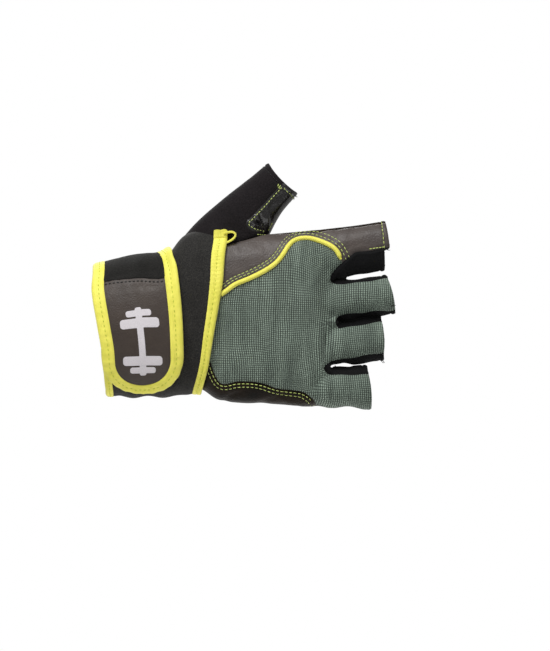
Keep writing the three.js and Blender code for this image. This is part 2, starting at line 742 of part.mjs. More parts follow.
add("back_panel", sewn.intersect(withoutGussets(onBack(knitOutline))), knit);
add("index_panel", sewn.intersect(withoutGussets(onBack(indexOutline))), leather);
add("palm_panel", sewn.intersect(withoutGussets(onPalm(allOver).add(onBack(heelOutline)))), leather);
gussets.forEach((gusset) => add(`gusset_${gusset.name}`, sewn.intersect(gusset.region), stretchCloth));
add("thumb_sleeve", thumbSewn.subtract(thumbLeatherRegion), stretchCloth);
add("thumb_leather", thumbSewn.intersect(thumbLeatherRegion), leather);
add("piping", piping, lime);
add("cuff", cuff, neoprene);
add("cuff_wrist_tape", cuffWristTape, lime);
add("cuff_hand_tape", cuffHandTape, lime);
add("strap", strap, neoprene);
add("strap_tape", strapTape(), lime);
add("strap_patch", patch, patchLeather);
add("loop_patch", loopPatch, stretchCloth);

export default glove;
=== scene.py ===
# A fingerless weightlifting glove for the right hand, as it is when worn. Millimetres until a mesh is made.
# +X runs from the wrist to the fingers, +Z to the thumb side, and -Y is the back of the hand.
import math

import bpy
import numpy as np
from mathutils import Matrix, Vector
from mathutils.bvhtree import BVHTree


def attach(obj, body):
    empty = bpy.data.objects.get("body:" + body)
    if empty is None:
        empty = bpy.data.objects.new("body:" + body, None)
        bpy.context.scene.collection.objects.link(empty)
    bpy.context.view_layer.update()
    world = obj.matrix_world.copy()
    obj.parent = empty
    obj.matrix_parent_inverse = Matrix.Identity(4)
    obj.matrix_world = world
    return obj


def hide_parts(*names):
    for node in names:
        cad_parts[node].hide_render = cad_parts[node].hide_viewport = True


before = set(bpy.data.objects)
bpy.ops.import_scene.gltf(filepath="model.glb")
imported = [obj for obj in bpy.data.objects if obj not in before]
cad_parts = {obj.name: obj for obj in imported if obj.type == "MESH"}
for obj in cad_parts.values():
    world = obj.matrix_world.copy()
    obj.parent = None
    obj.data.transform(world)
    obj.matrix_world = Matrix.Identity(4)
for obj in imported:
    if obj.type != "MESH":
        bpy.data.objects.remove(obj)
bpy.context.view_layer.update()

METRES = 0.001

# Sizes of the hand that the glove is cut for
palm_length = 118
palm_width = 86
palm_depth = 38
stall_length = 26
finger_depth = 19.5
stall_root_at = 0.86
stall_end_depth = 0.94
thumb_length = 72
thumb_width = 19
thumb_depth = 20

# Sizes of the cloth, leather and neoprene
panel_lift = 1.5  # outer face of the panels over the hand
panel_thickness = 1.15
neoprene_thickness = 2.4
patch_thickness = 0.9
tape_thickness = 3
tape_width = 6.3
piping_radius = 1.2
stitch_pitch = 2.2
stitch_length = 1.55
stitch_radius = 0.19

# Sizes of the cuff and strap
cuff_start = 1.5
cuff_tuck = 8
strap_width = 42
strap_length = 158
strap_tip_angle = -147
patch_length = 62
patch_slant = 2.5
cuff_tape_base = 1.85
cuff_base = 2.15
cuff_top = 4.55
loop_patch_base = 4.9
loop_patch_thickness = 0.8
loop_patch_side = 28
loop_patch_start = 2  # from the strap's tip
strap_tape_base = 6.05
strap_base = 6.35
strap_top = 8.75


def rows(names, values):
    """A table as a dictionary of named columns."""
    return dict(zip(names.split(), np.array(values, float).T))


hand_rows = rows("at z tilt half back palm square", [
    (0.0, 0.004, 5, 0.306, 0.5, 0.5, 2.2),
    (0.19, 0.031, 5, 0.341, 0.5, 0.51, 2.25),
    (0.305, 0.043, 5, 0.35, 0.49, 0.53, 2.3),
    (0.4, 0.122, 4.5, 0.414, 0.47, 0.56, 2.4),
    (0.51, 0.094, 0, 0.454, 0.44, 0.6, 2.5),
    (0.61, 0.09, 0, 0.468, 0.42, 0.59, 2.6),
    (0.71, 0.092, 0, 0.474, 0.41, 0.54, 2.7),
    (0.85, 0.095, 0, 0.488, 0.385, 0.45, 2.8),
    (0.93, 0.097, 0, 0.497, 0.325, 0.345, 2.7),
    (0.97, 0.097, 0, 0.498, 0.225, 0.235, 2.6),
])
stall_rows = rows("root end root_half end_half lean reach", [
    (0.474, 0.521, 0.132, 0.127, 6, 1.05),
    (0.206, 0.245, 0.095, 0.094, 14, 1.11),
    (-0.06, -0.012, 0.093, 0.092, 4, 0.95),
    (-0.31, -0.313, 0.091, 0.099, 6, 0.7),
])
thumb_rows = rows("at x y z tilt half depth", [
    (0.0, 0.4, 0.1, 0.25, 52, 0.98, 0.82),
    (0.34, 0.52, 0.13, 0.49, 50, 0.9, 0.68),
    (0.66, 0.632, 0.17, 0.688, 47, 0.68, 0.58),
    (0.85, 0.706, 0.19, 0.806, 45, 0.535, 0.52),
    (1.0, 0.772, 0.2, 0.895, 44, 0.49, 0.5),
])
cuff_edge_rows = rows("z back palm", [
    (-0.5, 0.4, 0.41),
    (-0.35, 0.431, 0.42),
    (-0.185, 0.467, 0.425),
    (-0.029, 0.488, 0.43),
    (0.298, 0.53, 0.42),
    (0.449, 0.539, 0.4),
    (0.534, 0.548, 0.4),
    (0.65, 0.556, 0.4),
])
strap_rows = rows("at centre half", [
    (0.0, 0.17, 0.478),
    (0.15, 0.185, 0.48),
    (0.25, 0.184, 0.5),
    (0.38, 0.176, 0.511),
    (0.46, 0.176, 0.487),
    (0.55, 0.166, 0.455),
    (1.0, 0.166, 0.45),
])

# Outlines of seams, as shares of the palm's length and width
piping_seam_rows = [
    (0.36, 0.12), (0.52, 0.233), (0.58, 0.292), (0.64, 0.326), (0.704, 0.37), (0.748, 0.41), (0.78, 0.459),
    (0.812, 0.527), (0.846, 0.557), (0.894, 0.562), (0.942, 0.544), (0.988, 0.516), (1.013, 0.484),
    (1.03, 0.433),
]
palm_seam_rows = [
    (0.36, -0.05), (0.44, -0.09), (0.474, -0.148), (0.492, -0.22), (0.515, -0.276), (0.543, -0.287),
    (0.586, -0.272), (0.651, -0.272), (0.7, -0.284), (0.754, -0.31), (0.808, -0.32), (0.86, -0.329),
    (0.896, -0.356), (0.922, -0.4), (0.932, -0.5),
]
thumb_seam_rows = [
    (0.8, 0.9), (0.766, 0.859), (0.7, 0.758), (0.655, 0.692), (0.627, 0.648), (0.648, 0.612), (0.69, 0.592),
    (0.79, 0.57),
]
knuckle_rows = rows("at middle reach rise", [
    (0.86, 0.42, 0.12, 0.03),
    (0.88, 0.19, 0.11, 0.04),
    (0.86, -0.04, 0.1, 0.035),
    (0.8, -0.27, 0.11, 0.03),
])

# From here on, tables are in millimetres
stall_names = ("index", "middle", "ring", "little")
stall_waist = (0.4, 0.75, 0.1, 0.1)  # how much narrower a stall is before its end
stall_waist_at = 0.42
web_rows = rows("end middle half", [(117.0, 31.4, 5.5), (119.6, 6.8, 5.0), (113.2, -16.3, 5.0)])
web_depth = 8.8
web_length = 14
web_square = 2.8
gusset_rows = rows("tip above below bulge first last", [
    (116.5, 1.6, 1.4, 1.3, 112, 124.5),
    (119.2, 0.5, 1.0, 2.1, 112, 170),
    (112.9, 1.3, 2.2, 2.0, 122, 170),
])
index_gusset_back_lap = 11
index_gusset_short = 2.8
index_edge_lap = 4.2  # how far the palm leather comes round the thumb side of the index stall
skin_voxel = 0.62
thumb_sides = 110
thumb_overrun = 5
stall_overrun = 5  # the tubes run past the stalls' ends, where they are cut
edge_wave = 0.6  # the little-finger side of the knit is wavy
edge_wave_at = 125.3
edge_wave_length = 16.8
far_inside = 50.0
back_only = 0.01  # points of the back have y below this
knit_pitch = 1.04
neoprene_pitch = 0.7
tape_pitch = 0.62
stretch_pitch = 0.55
wrist_middle = np.array([25.0, 0.0, 2.5])
wrist_girth = 118.0
tape_profile = np.array([
    (1.0, 0.86), (0.93, 0.95), (0.8, 1.01), (0.66, 1.0), (0.56, 0.93), (0.44, 1.0), (0.3, 1.02), (0.16, 0.96),
    (0.06, 0.82), (0.0, 0.6), (0.0, 0.35), (0.04, 0.15), (0.14, 0.03), (0.5, 0.0), (1.0, 0.0),
])
fold_line = 4  # the place in the tape's profile at which it is stitched
patch_stitch_inset = 1.6
print_rise = 0.09  # the print's face over the patch
print_thickness = 0.07

# How a panel dips and rises beside its seams and at its open end
seam_rows = rows("valley width ridge ridge_at ridge_width lip hem", [
    (0.5, 0.75, 0.14, 2.0, 1.1, 0.15, 0.3),
    (0.5, 0.75, 0.14, 2.0, 1.1, 0.03, 0.06),
    (0.2, 0.6, 0.06, 1.9, 1.0, 0.16, 0.3),
])
cloth_seam, knit_seam, thumb_seam = range(3)
hem_inset = 2.4
on_open_edge = 0.1  # a border nearer than this to an open end is no seam
piping_stitch_rows = (2.3, 3.6)
palm_stitch_rows = (1.0, 2.6)
palm_stitches_last_x = 110.5
facing_stitch_row = 1.2

# Soft folds: the middle, the direction in degrees, the half length, the half width and the height
fold_columns = "x z direction long wide height"
knit_folds = rows(fold_columns, [
    (114.2, -4.5, 90, 5, 1.3, -1.3),
    (110.5, -4, 90, 9, 2.4, 0.7),
    (117, -31, 85, 3.5, 1.1, -0.9),
    (109.8, -22, 97, 12, 1.7, -0.9),
    (113.4, -20, 97, 9, 2.2, 0.5),
    (106, -23, 95, 10, 2.0, 0.3),
    (100, 8, 80, 16, 4, 0.5),
    (84, 2, 96, 20, 4.5, 0.5),
    (70, -2, 100, 18, 4, 0.45),
    (62, 4, 78, 14, 3, -0.5),
    (77, -12, 115, 14, 3, -0.4),
    (92, -10, 70, 14, 3.5, -0.35),
    (108, 28, 60, 7, 2.2, 0.35),
    (123, 18, 85, 6, 1.2, -0.25),
    (128, 19, 82, 6, 1.3, 0.2),
    (126, -6, 85, 5, 1.2, -0.25),
    (121, -27, 88, 6, 1.4, 0.22),
])
index_folds = rows(fold_columns, [
    (76, 40, 12, 12, 3.0, 0.25),
    (83, 44, 160, 9, 2.2, -0.25),
    (118, 49, 70, 5, 1.4, -0.4),
    (124, 50, 80, 5, 2.2, 0.35),
    (131, 49, 20, 8, 1.8, 0.25),
    (110, 51, 165, 8, 1.2, -0.25),
    (96, 49.5, 10, 8, 1.0, -0.25),
])
palm_folds = rows(fold_columns, [
    (66, -31, 35, 6, 1.6, -0.5),
    (84, -33, 20, 7, 1.6, -0.5),
    (95, -33, 160, 6, 1.5, 0.4),
    (88, 22, 60, 24, 2.6, -0.8),
    (98, -4, 20, 26, 2.2, -0.6),
    (104, 8, 100, 22, 2.4, 0.5),
    (70, 0, 95, 18, 3.0, 0.35),
    (78, -20, 40, 14, 2.4, -0.4),
    (112, 20, 90, 12, 1.8, -0.5),
    (112, -14, 90, 14, 1.8, -0.5),
    (128, 41, 85, 6, 1.4, -0.3),
    (128, 18, 85, 6, 1.4, -0.3),
    (127, -3, 85, 6, 1.4, -0.3),
    (124, -27, 85, 6, 1.4, -0.3),
])
thumb_folds = rows(fold_columns, [
    (82.4, 57.0, 115, 5, 0.75, -1.0),
    (80.8, 57.0, 128, 5, 0.75, 0.9),
    (80.4, 55.8, 143, 5, 0.7, -0.9),
    (79.6, 54.6, 158, 4.5, 0.7, 0.8),
    (79.3, 53.3, 173, 4.5, 0.6, -0.7),
    (84.8, 58.5, 92, 5, 0.8, 0.9),
    (92.5, 66.5, 50, 7, 2.0, 0.7),
    (88, 66, 50, 7, 1.4, -0.5),
    (60, 58, 40, 8, 2.4, -0.5),
    (70, 60, 135, 10, 3, 0.35),
    (66, 54, 160, 9, 2.0, -0.4),
    (78, 72, 130, 10, 2.5, 0.2),
])
cuff_folds = rows(fold_columns, [
    (50, 40, 100, 10, 2.5, 0.6),
    (47, 20, 85, 16, 3.5, 0.5),
    (38, 38, 70, 8, 2.5, -0.5),
    (44, -10, 100, 12, 3, -0.4),
    (30, 44, 60, 8, 3, 0.3),
])
# On the patch, x is the length along the strap and z the place across it
patch_folds = rows(fold_columns, [
    (57, 5, 92, 10, 1.6, -0.25),
    (40, -12, 0, 10, 1.4, -0.15),
    (12, 6, 40, 6, 1.6, -0.2),
])

# Small things on the back, in x and z
edge_stitches = [
    [(135.2, 42.9), (139, 43.4), (142.6, 43.9)],
    [(90.1, 74.6), (91.5, 74.0), (90.6, 73.2), (90.0, 75.0), (91.4, 73.0)],
    [(84.9, 51.9), (87.0, 55.8)],
    [(79.3, 50.2), (83.8, 50.0)],
]
tape_loop = [
    (62.8, 50.6), (65.2, 51.3), (67.4, 51.4), (68.9, 50.4), (68.7, 48.9), (67.2, 47.5), (65.3, 46.4),
    (63.4, 45.6),
]
loop_thickness = 1.2
loop_width = 3.0
thread_radius = 0.18
loose_threads = rows("x z length direction", [
    (146.8, 14.6, 1.8, 25), (146.7, 14.2, 1.3, 5), (141.9, -12.4, 1.9, -30), (141.6, -12.8, 1.6, -65),
    (143.8, 42.0, 1.9, -70), (144.0, 41.2, 2.2, -95), (143.6, 41.5, 2.4, -110), (144.2, 42.6, 1.6, -30),
    (144.4, 43.4, 1.2, -50), (143.9, 41.8, 2.6, -82), (144.1, 40.9, 1.8, -60),
    (98.4, 69.6, 1.4, -40), (98.0, 69.2, 1.5, -75),
])
dumbbell_middle = 29.5  # from the strap's tip
dumbbell_parts = rows("middle half_long half_wide corner", [
    (0, 17.0, 1.5, 0.8), (9.4, 2.3, 9.6, 1.5), (14.3, 1.5, 6.2, 1.1),
])

# The camera, the floor and the lamps, in metres
camera_away = 3.0
camera_aim = (0.0885, 0.00475)
view_height = 0.3255
sensor = 36  # millimetres, as Blender has it
floor_radius = 0.5
floor_height = -0.26
lamp_aim = (0.08, 0, 0)
lamps = {
    "key": {"place": (-0.25, -0.8, 1.3), "side": 0.7, "watts": 30},
    "fill": {"place": (0.9, -1.2, 0.5), "side": 0.9, "watts": 2},
    "back": {"place": (-0.2, 1.3, 0.7), "side": 0.9, "watts": 10},
}


def column(table, name, value, key="at"):
    """A cubic curve through one column of a table, over the column "key"."""
    x, y = table[key], table[name]
    value = np.asarray(value, float)
    slope = np.gradient(y, x)
    slope[1:-1] = (y[2:] - y[:-2]) / (x[2:] - x[:-2])
    i = np.searchsorted(x[1:-1], value)
    span = x[i + 1] - x[i]
    t = np.clip((value - x[i]) / span, 0, 1)
    return (
        (2 * t**3 - 3 * t**2 + 1) * y[i]
        + (t**3 - 2 * t**2 + t) * span * slope[i]
        + (3 * t**2 - 2 * t**3) * y[i + 1]
        + (t**3 - t**2) * span * slope[i + 1]
    )


def lerp(a, b, t):
    return a + (b - a) * t


def smooth(low, high, value):
    t = np.clip((value - low) / (high - low), 0, 1)
    return t * t * (3 - 2 * t)


def bell(distance, width):
    return np.exp(-((distance / width) ** 2))


def unit(vectors):
    return vectors / np.maximum(np.linalg.norm(vectors, axis=1, keepdims=True), 1e-12)


def turned(x, z, degrees):
    """Distances along and across a direction."""
    c, s = math.cos(math.radians(degrees)), math.sin(math.radians(degrees))
    return x * c + z * s, z * c - x * s


def row_of(table, i):
    """One row of a table, by column name."""
    return {name: values[i] for name, values in table.items()}


# A limb gives, at each station from 0 to 1, the middle, the lean and the half sizes of a rounded section.
def hand(at):
    return {
        "x": at * palm_length,
        "y": 0 * at,
        "z": column(hand_rows, "z", at) * palm_width,
        "tilt": column(hand_rows, "tilt", at),
        "half": column(hand_rows, "half", at) * palm_width,
        "back": column(hand_rows, "back", at) * palm_depth,
        "palm": column(hand_rows, "palm", at) * palm_depth,
        "square": column(hand_rows, "square", at),
    }


def stall_span(row):
    """Where a stall's axis starts and ends along the hand."""
    return stall_root_at * palm_length, palm_length + row["reach"] * stall_length


def stall(i):
    row = row_of(stall_rows, i)
    root_x, end_x = stall_span(row)
    rise = (row["end"] - row["root"]) * palm_width
    axis_tilt = math.degrees(math.atan2(rise, end_x - palm_length))

    def limb(at):
        x = root_x + at * (end_x - root_x)
        along = (x - palm_length) / (end_x - palm_length)
        share = np.maximum(along, 0)
        depth = finger_depth / 2 * lerp(1, stall_end_depth, share)
        drawn_in = stall_waist[i] * bell(along - stall_waist_at, stall_waist_at)
        return {
            "x": x,
            "y": 0 * at,
            "z": row["root"] * palm_width + along * rise,
            "tilt": lerp(axis_tilt, row["lean"], share),
            "half": lerp(row["root_half"], row["end_half"], share) * palm_width - drawn_in,
            "back": depth,
            "palm": depth,
            "square": 2.25 + 0 * at,
        }

    return limb


def thumb(at):
    first = [thumb_rows[name][0] for name in "xz"]
    last = [thumb_rows[name][-1] for name in "xz"]
    drawn = math.hypot((last[0] - first[0]) * palm_length, (last[1] - first[1]) * palm_width)
    stretch = thumb_length / drawn
    depth = column(thumb_rows, "depth", at) * thumb_depth
    return {
        "x": (first[0] + (column(thumb_rows, "x", at) - first[0]) * stretch) * palm_length,
        "y": column(thumb_rows, "y", at) * palm_depth,
        "z": (first[1] + (column(thumb_rows, "z", at) - first[1]) * stretch) * palm_width,
        "tilt": column(thumb_rows, "tilt", at),
        "half": column(thumb_rows, "half", at) * thumb_width,
        "back": depth,
        "palm": depth,
        "square": 2.2 + 0 * at,
    }


def knuckle_rise(x, z):
    total = 0
    for at, middle, reach, rise in zip(*knuckle_rows.values()):
        away = np.hypot(x - at * palm_length, z - middle * palm_width) / (reach * palm_width)
        total = total + rise * palm_depth * np.exp(-away * away)
    return total


def on_limb(limb, at, angle, lift=0.0, shift=0.0):
    """Points of a limb's surface. angle: 0 is the thumb side, 90 the palm and -90 the back."""
    at, angle = np.broadcast_arrays(np.asarray(at, float), np.asarray(angle, float))
    s = limb(at)
    lean = np.radians(s["tilt"])
    c, d = np.cos(np.radians(angle)), np.sin(np.radians(angle))
    power = 2 / s["square"]
    across = np.sign(c) * np.abs(c) ** power * (s["half"] + lift)
    depth = np.sign(d) * np.abs(d) ** power * (np.where(d < 0, s["back"], s["palm"]) + lift)
    x = s["x"] - np.sin(lean) * across + np.cos(lean) * shift
    y = s["y"] + depth
    z = s["z"] + np.cos(lean) * across + np.sin(lean) * shift
    if limb is hand:
        y = y - np.where(d < 0, knuckle_rise(x, z) * np.abs(d), 0)
    return np.stack([x, y, z], -1)


def past_end(limb, x, z):
    """How far points lie past a limb's end and beside its middle, and the end's half width."""
    end = {name: float(value) for name, value in limb(np.array(1.0)).items()}
    along, across = turned(x - end["x"], z - end["z"], end["tilt"])
    return along, across, end["half"]


def grid_faces(across, along, close_across=False, close_along=False):
    """Triangles over a grid of points, "along" points in each of "across" rows."""
    i = np.arange(across if close_across else across - 1)[:, None]
    j = np.arange(along if close_along else along - 1)[None, :]
    a = i * along + j
    b = ((i + 1) % across) * along + j
    c = ((i + 1) % across) * along + (j + 1) % along
    d = i * along + (j + 1) % along
    return np.concatenate([np.stack([a, b, c], -1).reshape(-1, 3), np.stack([a, c, d], -1).reshape(-1, 3)])


def swept(rings, closed=False):
    """A closed body from a row of rings (R, M, 3), with a fan over each open end."""
    count, sides = rings.shape[:2]
    points = rings.reshape(-1, 3)
    faces = grid_faces(count, sides, close_across=closed, close_along=True)
    if not closed:
        ends = [rings[0].mean(0), rings[-1].mean(0)]
        j = np.arange(sides)
        first = np.stack([np.full(sides, len(points)), j, (j + 1) % sides], -1)
        tail = (count - 1) * sides
        last = np.stack([np.full(sides, len(points) + 1), tail + (j + 1) % sides, tail + j], -1)
        points = np.concatenate([points, ends])
        faces = np.concatenate([faces, first, last])
    return outward(points, faces)


def outward(points, faces):
    a, b, c = (points[faces[:, k]] for k in range(3))
    volume = np.einsum("ij,ij->i", a, np.cross(b, c)).sum()
    return (points, faces) if volume > 0 else (points, faces[:, ::-1])


def joined(bodies):
    points, faces, start = [], [], 0
    for body_points, body_faces in bodies:
        points.append(body_points)
        faces.append(body_faces + start)
        start += len(body_points)
    return np.concatenate(points), np.concatenate(faces)


def tube(limb, cuts, sides, lift, before=0, after=0):
    angle = (np.arange(sides) + 0.5) * 360 / sides
    rings = [on_limb(limb, at, angle, lift) for at in cuts]
    if before:
        rings.insert(0, on_limb(limb, cuts[0], angle, lift, -before))
    if after:
        rings.append(on_limb(limb, cuts[-1], angle, lift, after))
    return swept(np.array(rings))


def normals_of(points, faces):
    """Vertex normals, each face weighted by its area."""
    a, b, c = (points[faces[:, k]] for k in range(3))
    face = np.cross(b - a, c - a)
    total = np.zeros_like(points)
    for k in range(3):
        for axis in range(3):
            total[:, axis] += np.bincount(faces[:, k], face[:, axis], len(points))
    return unit(total)


def edges_of(faces):
    """The unique edges of some faces, and for each face the numbers of its three edges."""
    pairs = np.concatenate([faces[:, [0, 1]], faces[:, [1, 2]], faces[:, [2, 0]]])
    edges, back = np.unique(np.sort(pairs, axis=1), axis=0, return_inverse=True)
    return edges, back.reshape(3, -1).T


def relaxed(points, faces, rounds, share=0.5, weight=None):
    """Each point moves towards the middle of its neighbours, a few times."""
    edges, _ = edges_of(faces)
    ends = np.concatenate([edges, edges[:, ::-1]])
    count = np.bincount(ends[:, 0], minlength=len(points))[:, None]
    pull = share if weight is None else share * weight[:, None]
    for _ in range(rounds):
        total = np.stack([np.bincount(ends[:, 0], points[ends[:, 1], k], len(points)) for k in range(3)], -1)
        points = points + pull * (total / np.maximum(count, 1) - points)
    return points


def blender_mesh(name, points, faces, uv=None):
    """A mesh in metres from triangles in millimetres."""
    mesh = bpy.data.meshes.new(name)
    mesh.vertices.add(len(points))
    mesh.vertices.foreach_set("co", (np.asarray(points) * METRES).astype(np.float32).ravel())
    mesh.loops.add(len(faces) * 3)
    mesh.loops.foreach_set("vertex_index", np.asarray(faces, np.int32).ravel())
    mesh.polygons.add(len(faces))
    mesh.polygons.foreach_set("loop_start", np.arange(0, len(faces) * 3, 3, dtype=np.int32))
    if uv is not None:
        layer = mesh.uv_layers.new(name="cloth")
        layer.data.foreach_set("uv", uv[np.asarray(faces).ravel()].astype(np.float32).ravel())
    mesh.update(calc_edges=True)
    mesh.validate()
    return mesh


def remeshed(points, faces, voxel):
    """One closed skin round some bodies that run into each other."""
    mesh = blender_mesh("rough", points, faces)
    body = bpy.data.objects.new("rough", mesh)
    bpy.context.scene.collection.objects.link(body)
    change = body.modifiers.new("skin", "REMESH")
    change.mode = "VOXEL"
    change.voxel_size = voxel * METRES
    graph = bpy.context.evaluated_depsgraph_get()
    result = body.evaluated_get(graph).to_mesh()
    result.calc_loop_triangles()
    out_points = np.empty(len(result.vertices) * 3, np.float32)
    result.vertices.foreach_get("co", out_points)
    out_faces = np.empty(len(result.loop_triangles) * 3, np.int32)
    result.loop_triangles.foreach_get("vertices", out_faces)
    bpy.data.objects.remove(body)
    bpy.data.meshes.remove(mesh)
    return outward(out_points.reshape(-1, 3).astype(float) / METRES, out_faces.reshape(-1, 3))


def tree_of(points, faces):
    return BVHTree.FromPolygons([tuple(p) for p in points], [tuple(int(k) for k in f) for f in faces])


def height_over(tree, points):
    """How far each point lies outside a closed surface."""
    heights = np.empty(len(points))
    for k, point in enumerate(points):
        place, normal, _, distance = tree.find_nearest(Vector(point))
        heights[k] = math.copysign(distance, (Vector(point) - place).dot(normal))
    return heights


class Skin:
    """Triangles with values at their points and marks on their faces, which can be cut along lines."""

    def __init__(self, points, faces, values=None):
        self.points = points
        self.faces = faces
        self.values = np.zeros((len(points), 2)) if values is None else values
        self.marks = {}

    def cut(self, mark, field, within=None):
        """Cuts the faces along the field's zero line and marks those where it is positive."""
        field = np.where(np.abs(field) < 1e-7, 1e-7, field)
        edges, face_edges = edges_of(self.faces)
        a, b = edges.T
        crossing = field[a] * field[b] < 0
        if within is not None:
            crossing &= within[a] & within[b]
        share = field[a] / np.where(crossing, field[a] - field[b], 1)
        self._snap(field, edges[crossing], share[crossing])
        crossing &= field[a] * field[b] < 0
        share = (field[a] / np.where(crossing, field[a] - field[b], 1))[crossing, None]
        a, b = a[crossing], b[crossing]
        number = np.full(len(edges), -1)
        number[crossing] = len(self.points) + np.arange(len(a))
        self.points = np.concatenate([self.points, lerp(self.points[a], self.points[b], share)])
        self.values = np.concatenate([self.values, lerp(self.values[a], self.values[b], share)])
        field = np.concatenate([field, np.zeros(len(a))])
        self._divide(number[face_edges])
        self.marks[mark] = field[self.faces].sum(1) > 0

    def _snap(self, field, edges, share):
        """Points close to the line move onto it, so that no thin faces are left."""
        near = np.concatenate([edges[share < 0.2, 0], edges[share > 0.8, 1]])
        place = lerp(self.points[edges[:, 0]], self.points[edges[:, 1]], share[:, None])
        target = np.concatenate([place[share < 0.2], place[share > 0.8]])
        far_first = np.argsort(-np.linalg.norm(target - self.points[near], axis=1))
        self.points[near[far_first]] = target[far_first]
        field[near] = 0

    def _divide(self, middles):
        """Divides the faces whose edges got a new point in the middle."""
        count = (middles >= 0).sum(1)
        kept, origin = [self.faces[count == 0]], [np.nonzero(count == 0)[0]]
        for turn in range(3):
            order = [turn, (turn + 1) % 3, (turn + 2) % 3]
            i, j, k = self.faces[:, order].T
            m0, m1, m2 = middles[:, order].T
            one = (count == 1) & (m0 >= 0)
            two = (count == 2) & (m2 < 0)
            for pick, corners in (
                (one, (i, m0, k)), (one, (m0, j, k)),
                (two, (m0, j, m1)), (two, (i, m0, m1)), (two, (i, m1, k)),
            ):
                kept.append(np.stack(corners, -1)[pick])
                origin.append(np.nonzero(pick)[0])
        origin = np.concatenate(origin)
        self.faces = np.concatenate(kept)
        self.marks = {name: values[origin] for name, values in self.marks.items()}

    def trim(self, field):
        """Keeps what lies on the positive side of the field's zero line."""
        self.cut("kept", field)
        self.keep(self.marks["kept"])

    def keep(self, wanted):
        self.faces = self.faces[wanted]
        self.marks = {name: values[wanted] for name, values in self.marks.items()}

    def part(self, wanted=slice(None)):
        """The wanted faces, or all of them, as a skin of their own without loose points."""
        faces = self.faces[wanted]
        used, back = np.unique(faces, return_inverse=True)
        part = Skin(self.points[used], back.reshape(-1, 3), self.values[used])
        part.source = used
        return part

    def border(self):
        """The directed edges along the skin's open borders."""
        directed = np.concatenate([self.faces[:, [0, 1]], self.faces[:, [1, 2]], self.faces[:, [2, 0]]])
        _, back, count = np.unique(np.sort(directed, axis=1), axis=0, return_inverse=True, return_counts=True)
        return directed[count[back.ravel()] == 1]


def distance_to(points, targets):
    """Distance from each point to the nearest of some others."""
    nearest = np.full(len(points), np.inf)
    for start in range(0, len(points), 4000):
        chunk = points[start:start + 4000]
        square = (chunk**2).sum(1)[:, None] + (targets**2).sum(1)[None] - 2 * chunk @ targets.T
        nearest[start:start + 4000] = np.sqrt(np.maximum(square.min(1), 0))
    return nearest


def seam_line(points, steps):
    """A smooth line through seam points given as shares of the palm's length and width."""
    p = np.array(points) * [palm_length, palm_width]
    n = len(p)
    t = np.linspace(0, n - 1, steps + 1)
    i = np.minimum(t.astype(int), n - 2)
    w = (t - i)[:, None]
    p0, p1, p2, p3 = p[np.maximum(i - 1, 0)], p[i], p[i + 1], p[np.minimum(i + 2, n - 1)]
    v0, v1 = (p2 - p0) / 2, (p3 - p1) / 2
    return (2 * p1 - 2 * p2 + v0 + v1) * w**3 + (3 * p2 - 3 * p1) * w**2 - (2 * v0 + v1) * w**2 + v0 * w + p1


def along_line(line, x, z):
    """Signed distance from a line in x and z, positive on its left, and the length along it."""
    best = np.full(len(x), np.inf)
    signed, length = np.zeros(len(x)), np.zeros(len(x))
    start = 0.0
    for k in range(len(line) - 1):
        (x0, z0), (x1, z1) = line[k], line[k + 1]
        long = math.hypot(x1 - x0, z1 - z0)
        ux, uz = (x1 - x0) / long, (z1 - z0) / long
        t = (x - x0) * ux + (z - z0) * uz
        low = -np.inf if k == 0 else 0
        high = np.inf if k == len(line) - 2 else long
        t = np.clip(t, low, high)
        dx, dz = x - x0 - t * ux, z - z0 - t * uz
        distance = np.hypot(dx, dz)
        nearer = distance < best
        best = np.where(nearer, distance, best)
        side = ux * (z - z0) - uz * (x - x0)
        signed = np.where(nearer, np.copysign(distance, side), signed)
        length = np.where(nearer, start + t, length)
        start += long
    return signed, length


def directions(line):
    return unit(np.gradient(line, axis=0))


def lengths_along(line):
    return np.concatenate([[0], np.cumsum(np.linalg.norm(np.diff(line, axis=0), axis=1))])


def offset_line(line, distance):
    """The line moved to its left by a distance."""
    way = directions(line)
    return line + distance * np.stack([-way[:, 1], way[:, 0]], -1)


def resampled(line, pitch, carried=None):
    """Points of a line at even distances, with any values that they carry."""
    long = lengths_along(line)
    places = np.arange(pitch / 2, long[-1], pitch)
    columns = line if carried is None else np.concatenate([line, carried], 1)
    return np.stack([np.interp(places, long, values) for values in columns.T], -1)


def smoothed(line, rounds):
    for _ in range(rounds):
        line = np.concatenate([line[:1], (line[:-2] + 2 * line[1:-1] + line[2:]) / 4, line[-1:]])
    return line


# Pieces
def linked(name, data):
    made = bpy.data.objects.new(name, data)
    bpy.context.scene.collection.objects.link(made)
    return made


def piece(name, body, material, nodes=(), uv=None, sharp=40):
    points, faces = body
    mesh = blender_mesh(name, points, faces, uv)
    mesh.polygons.foreach_set("use_smooth", np.ones(len(mesh.polygons), bool))
    mesh.set_sharp_from_angle(angle=math.radians(sharp))
    mesh.materials.append(material)
    made = linked(name, mesh)
    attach(made, "root")
    if nodes:
        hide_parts(*nodes)


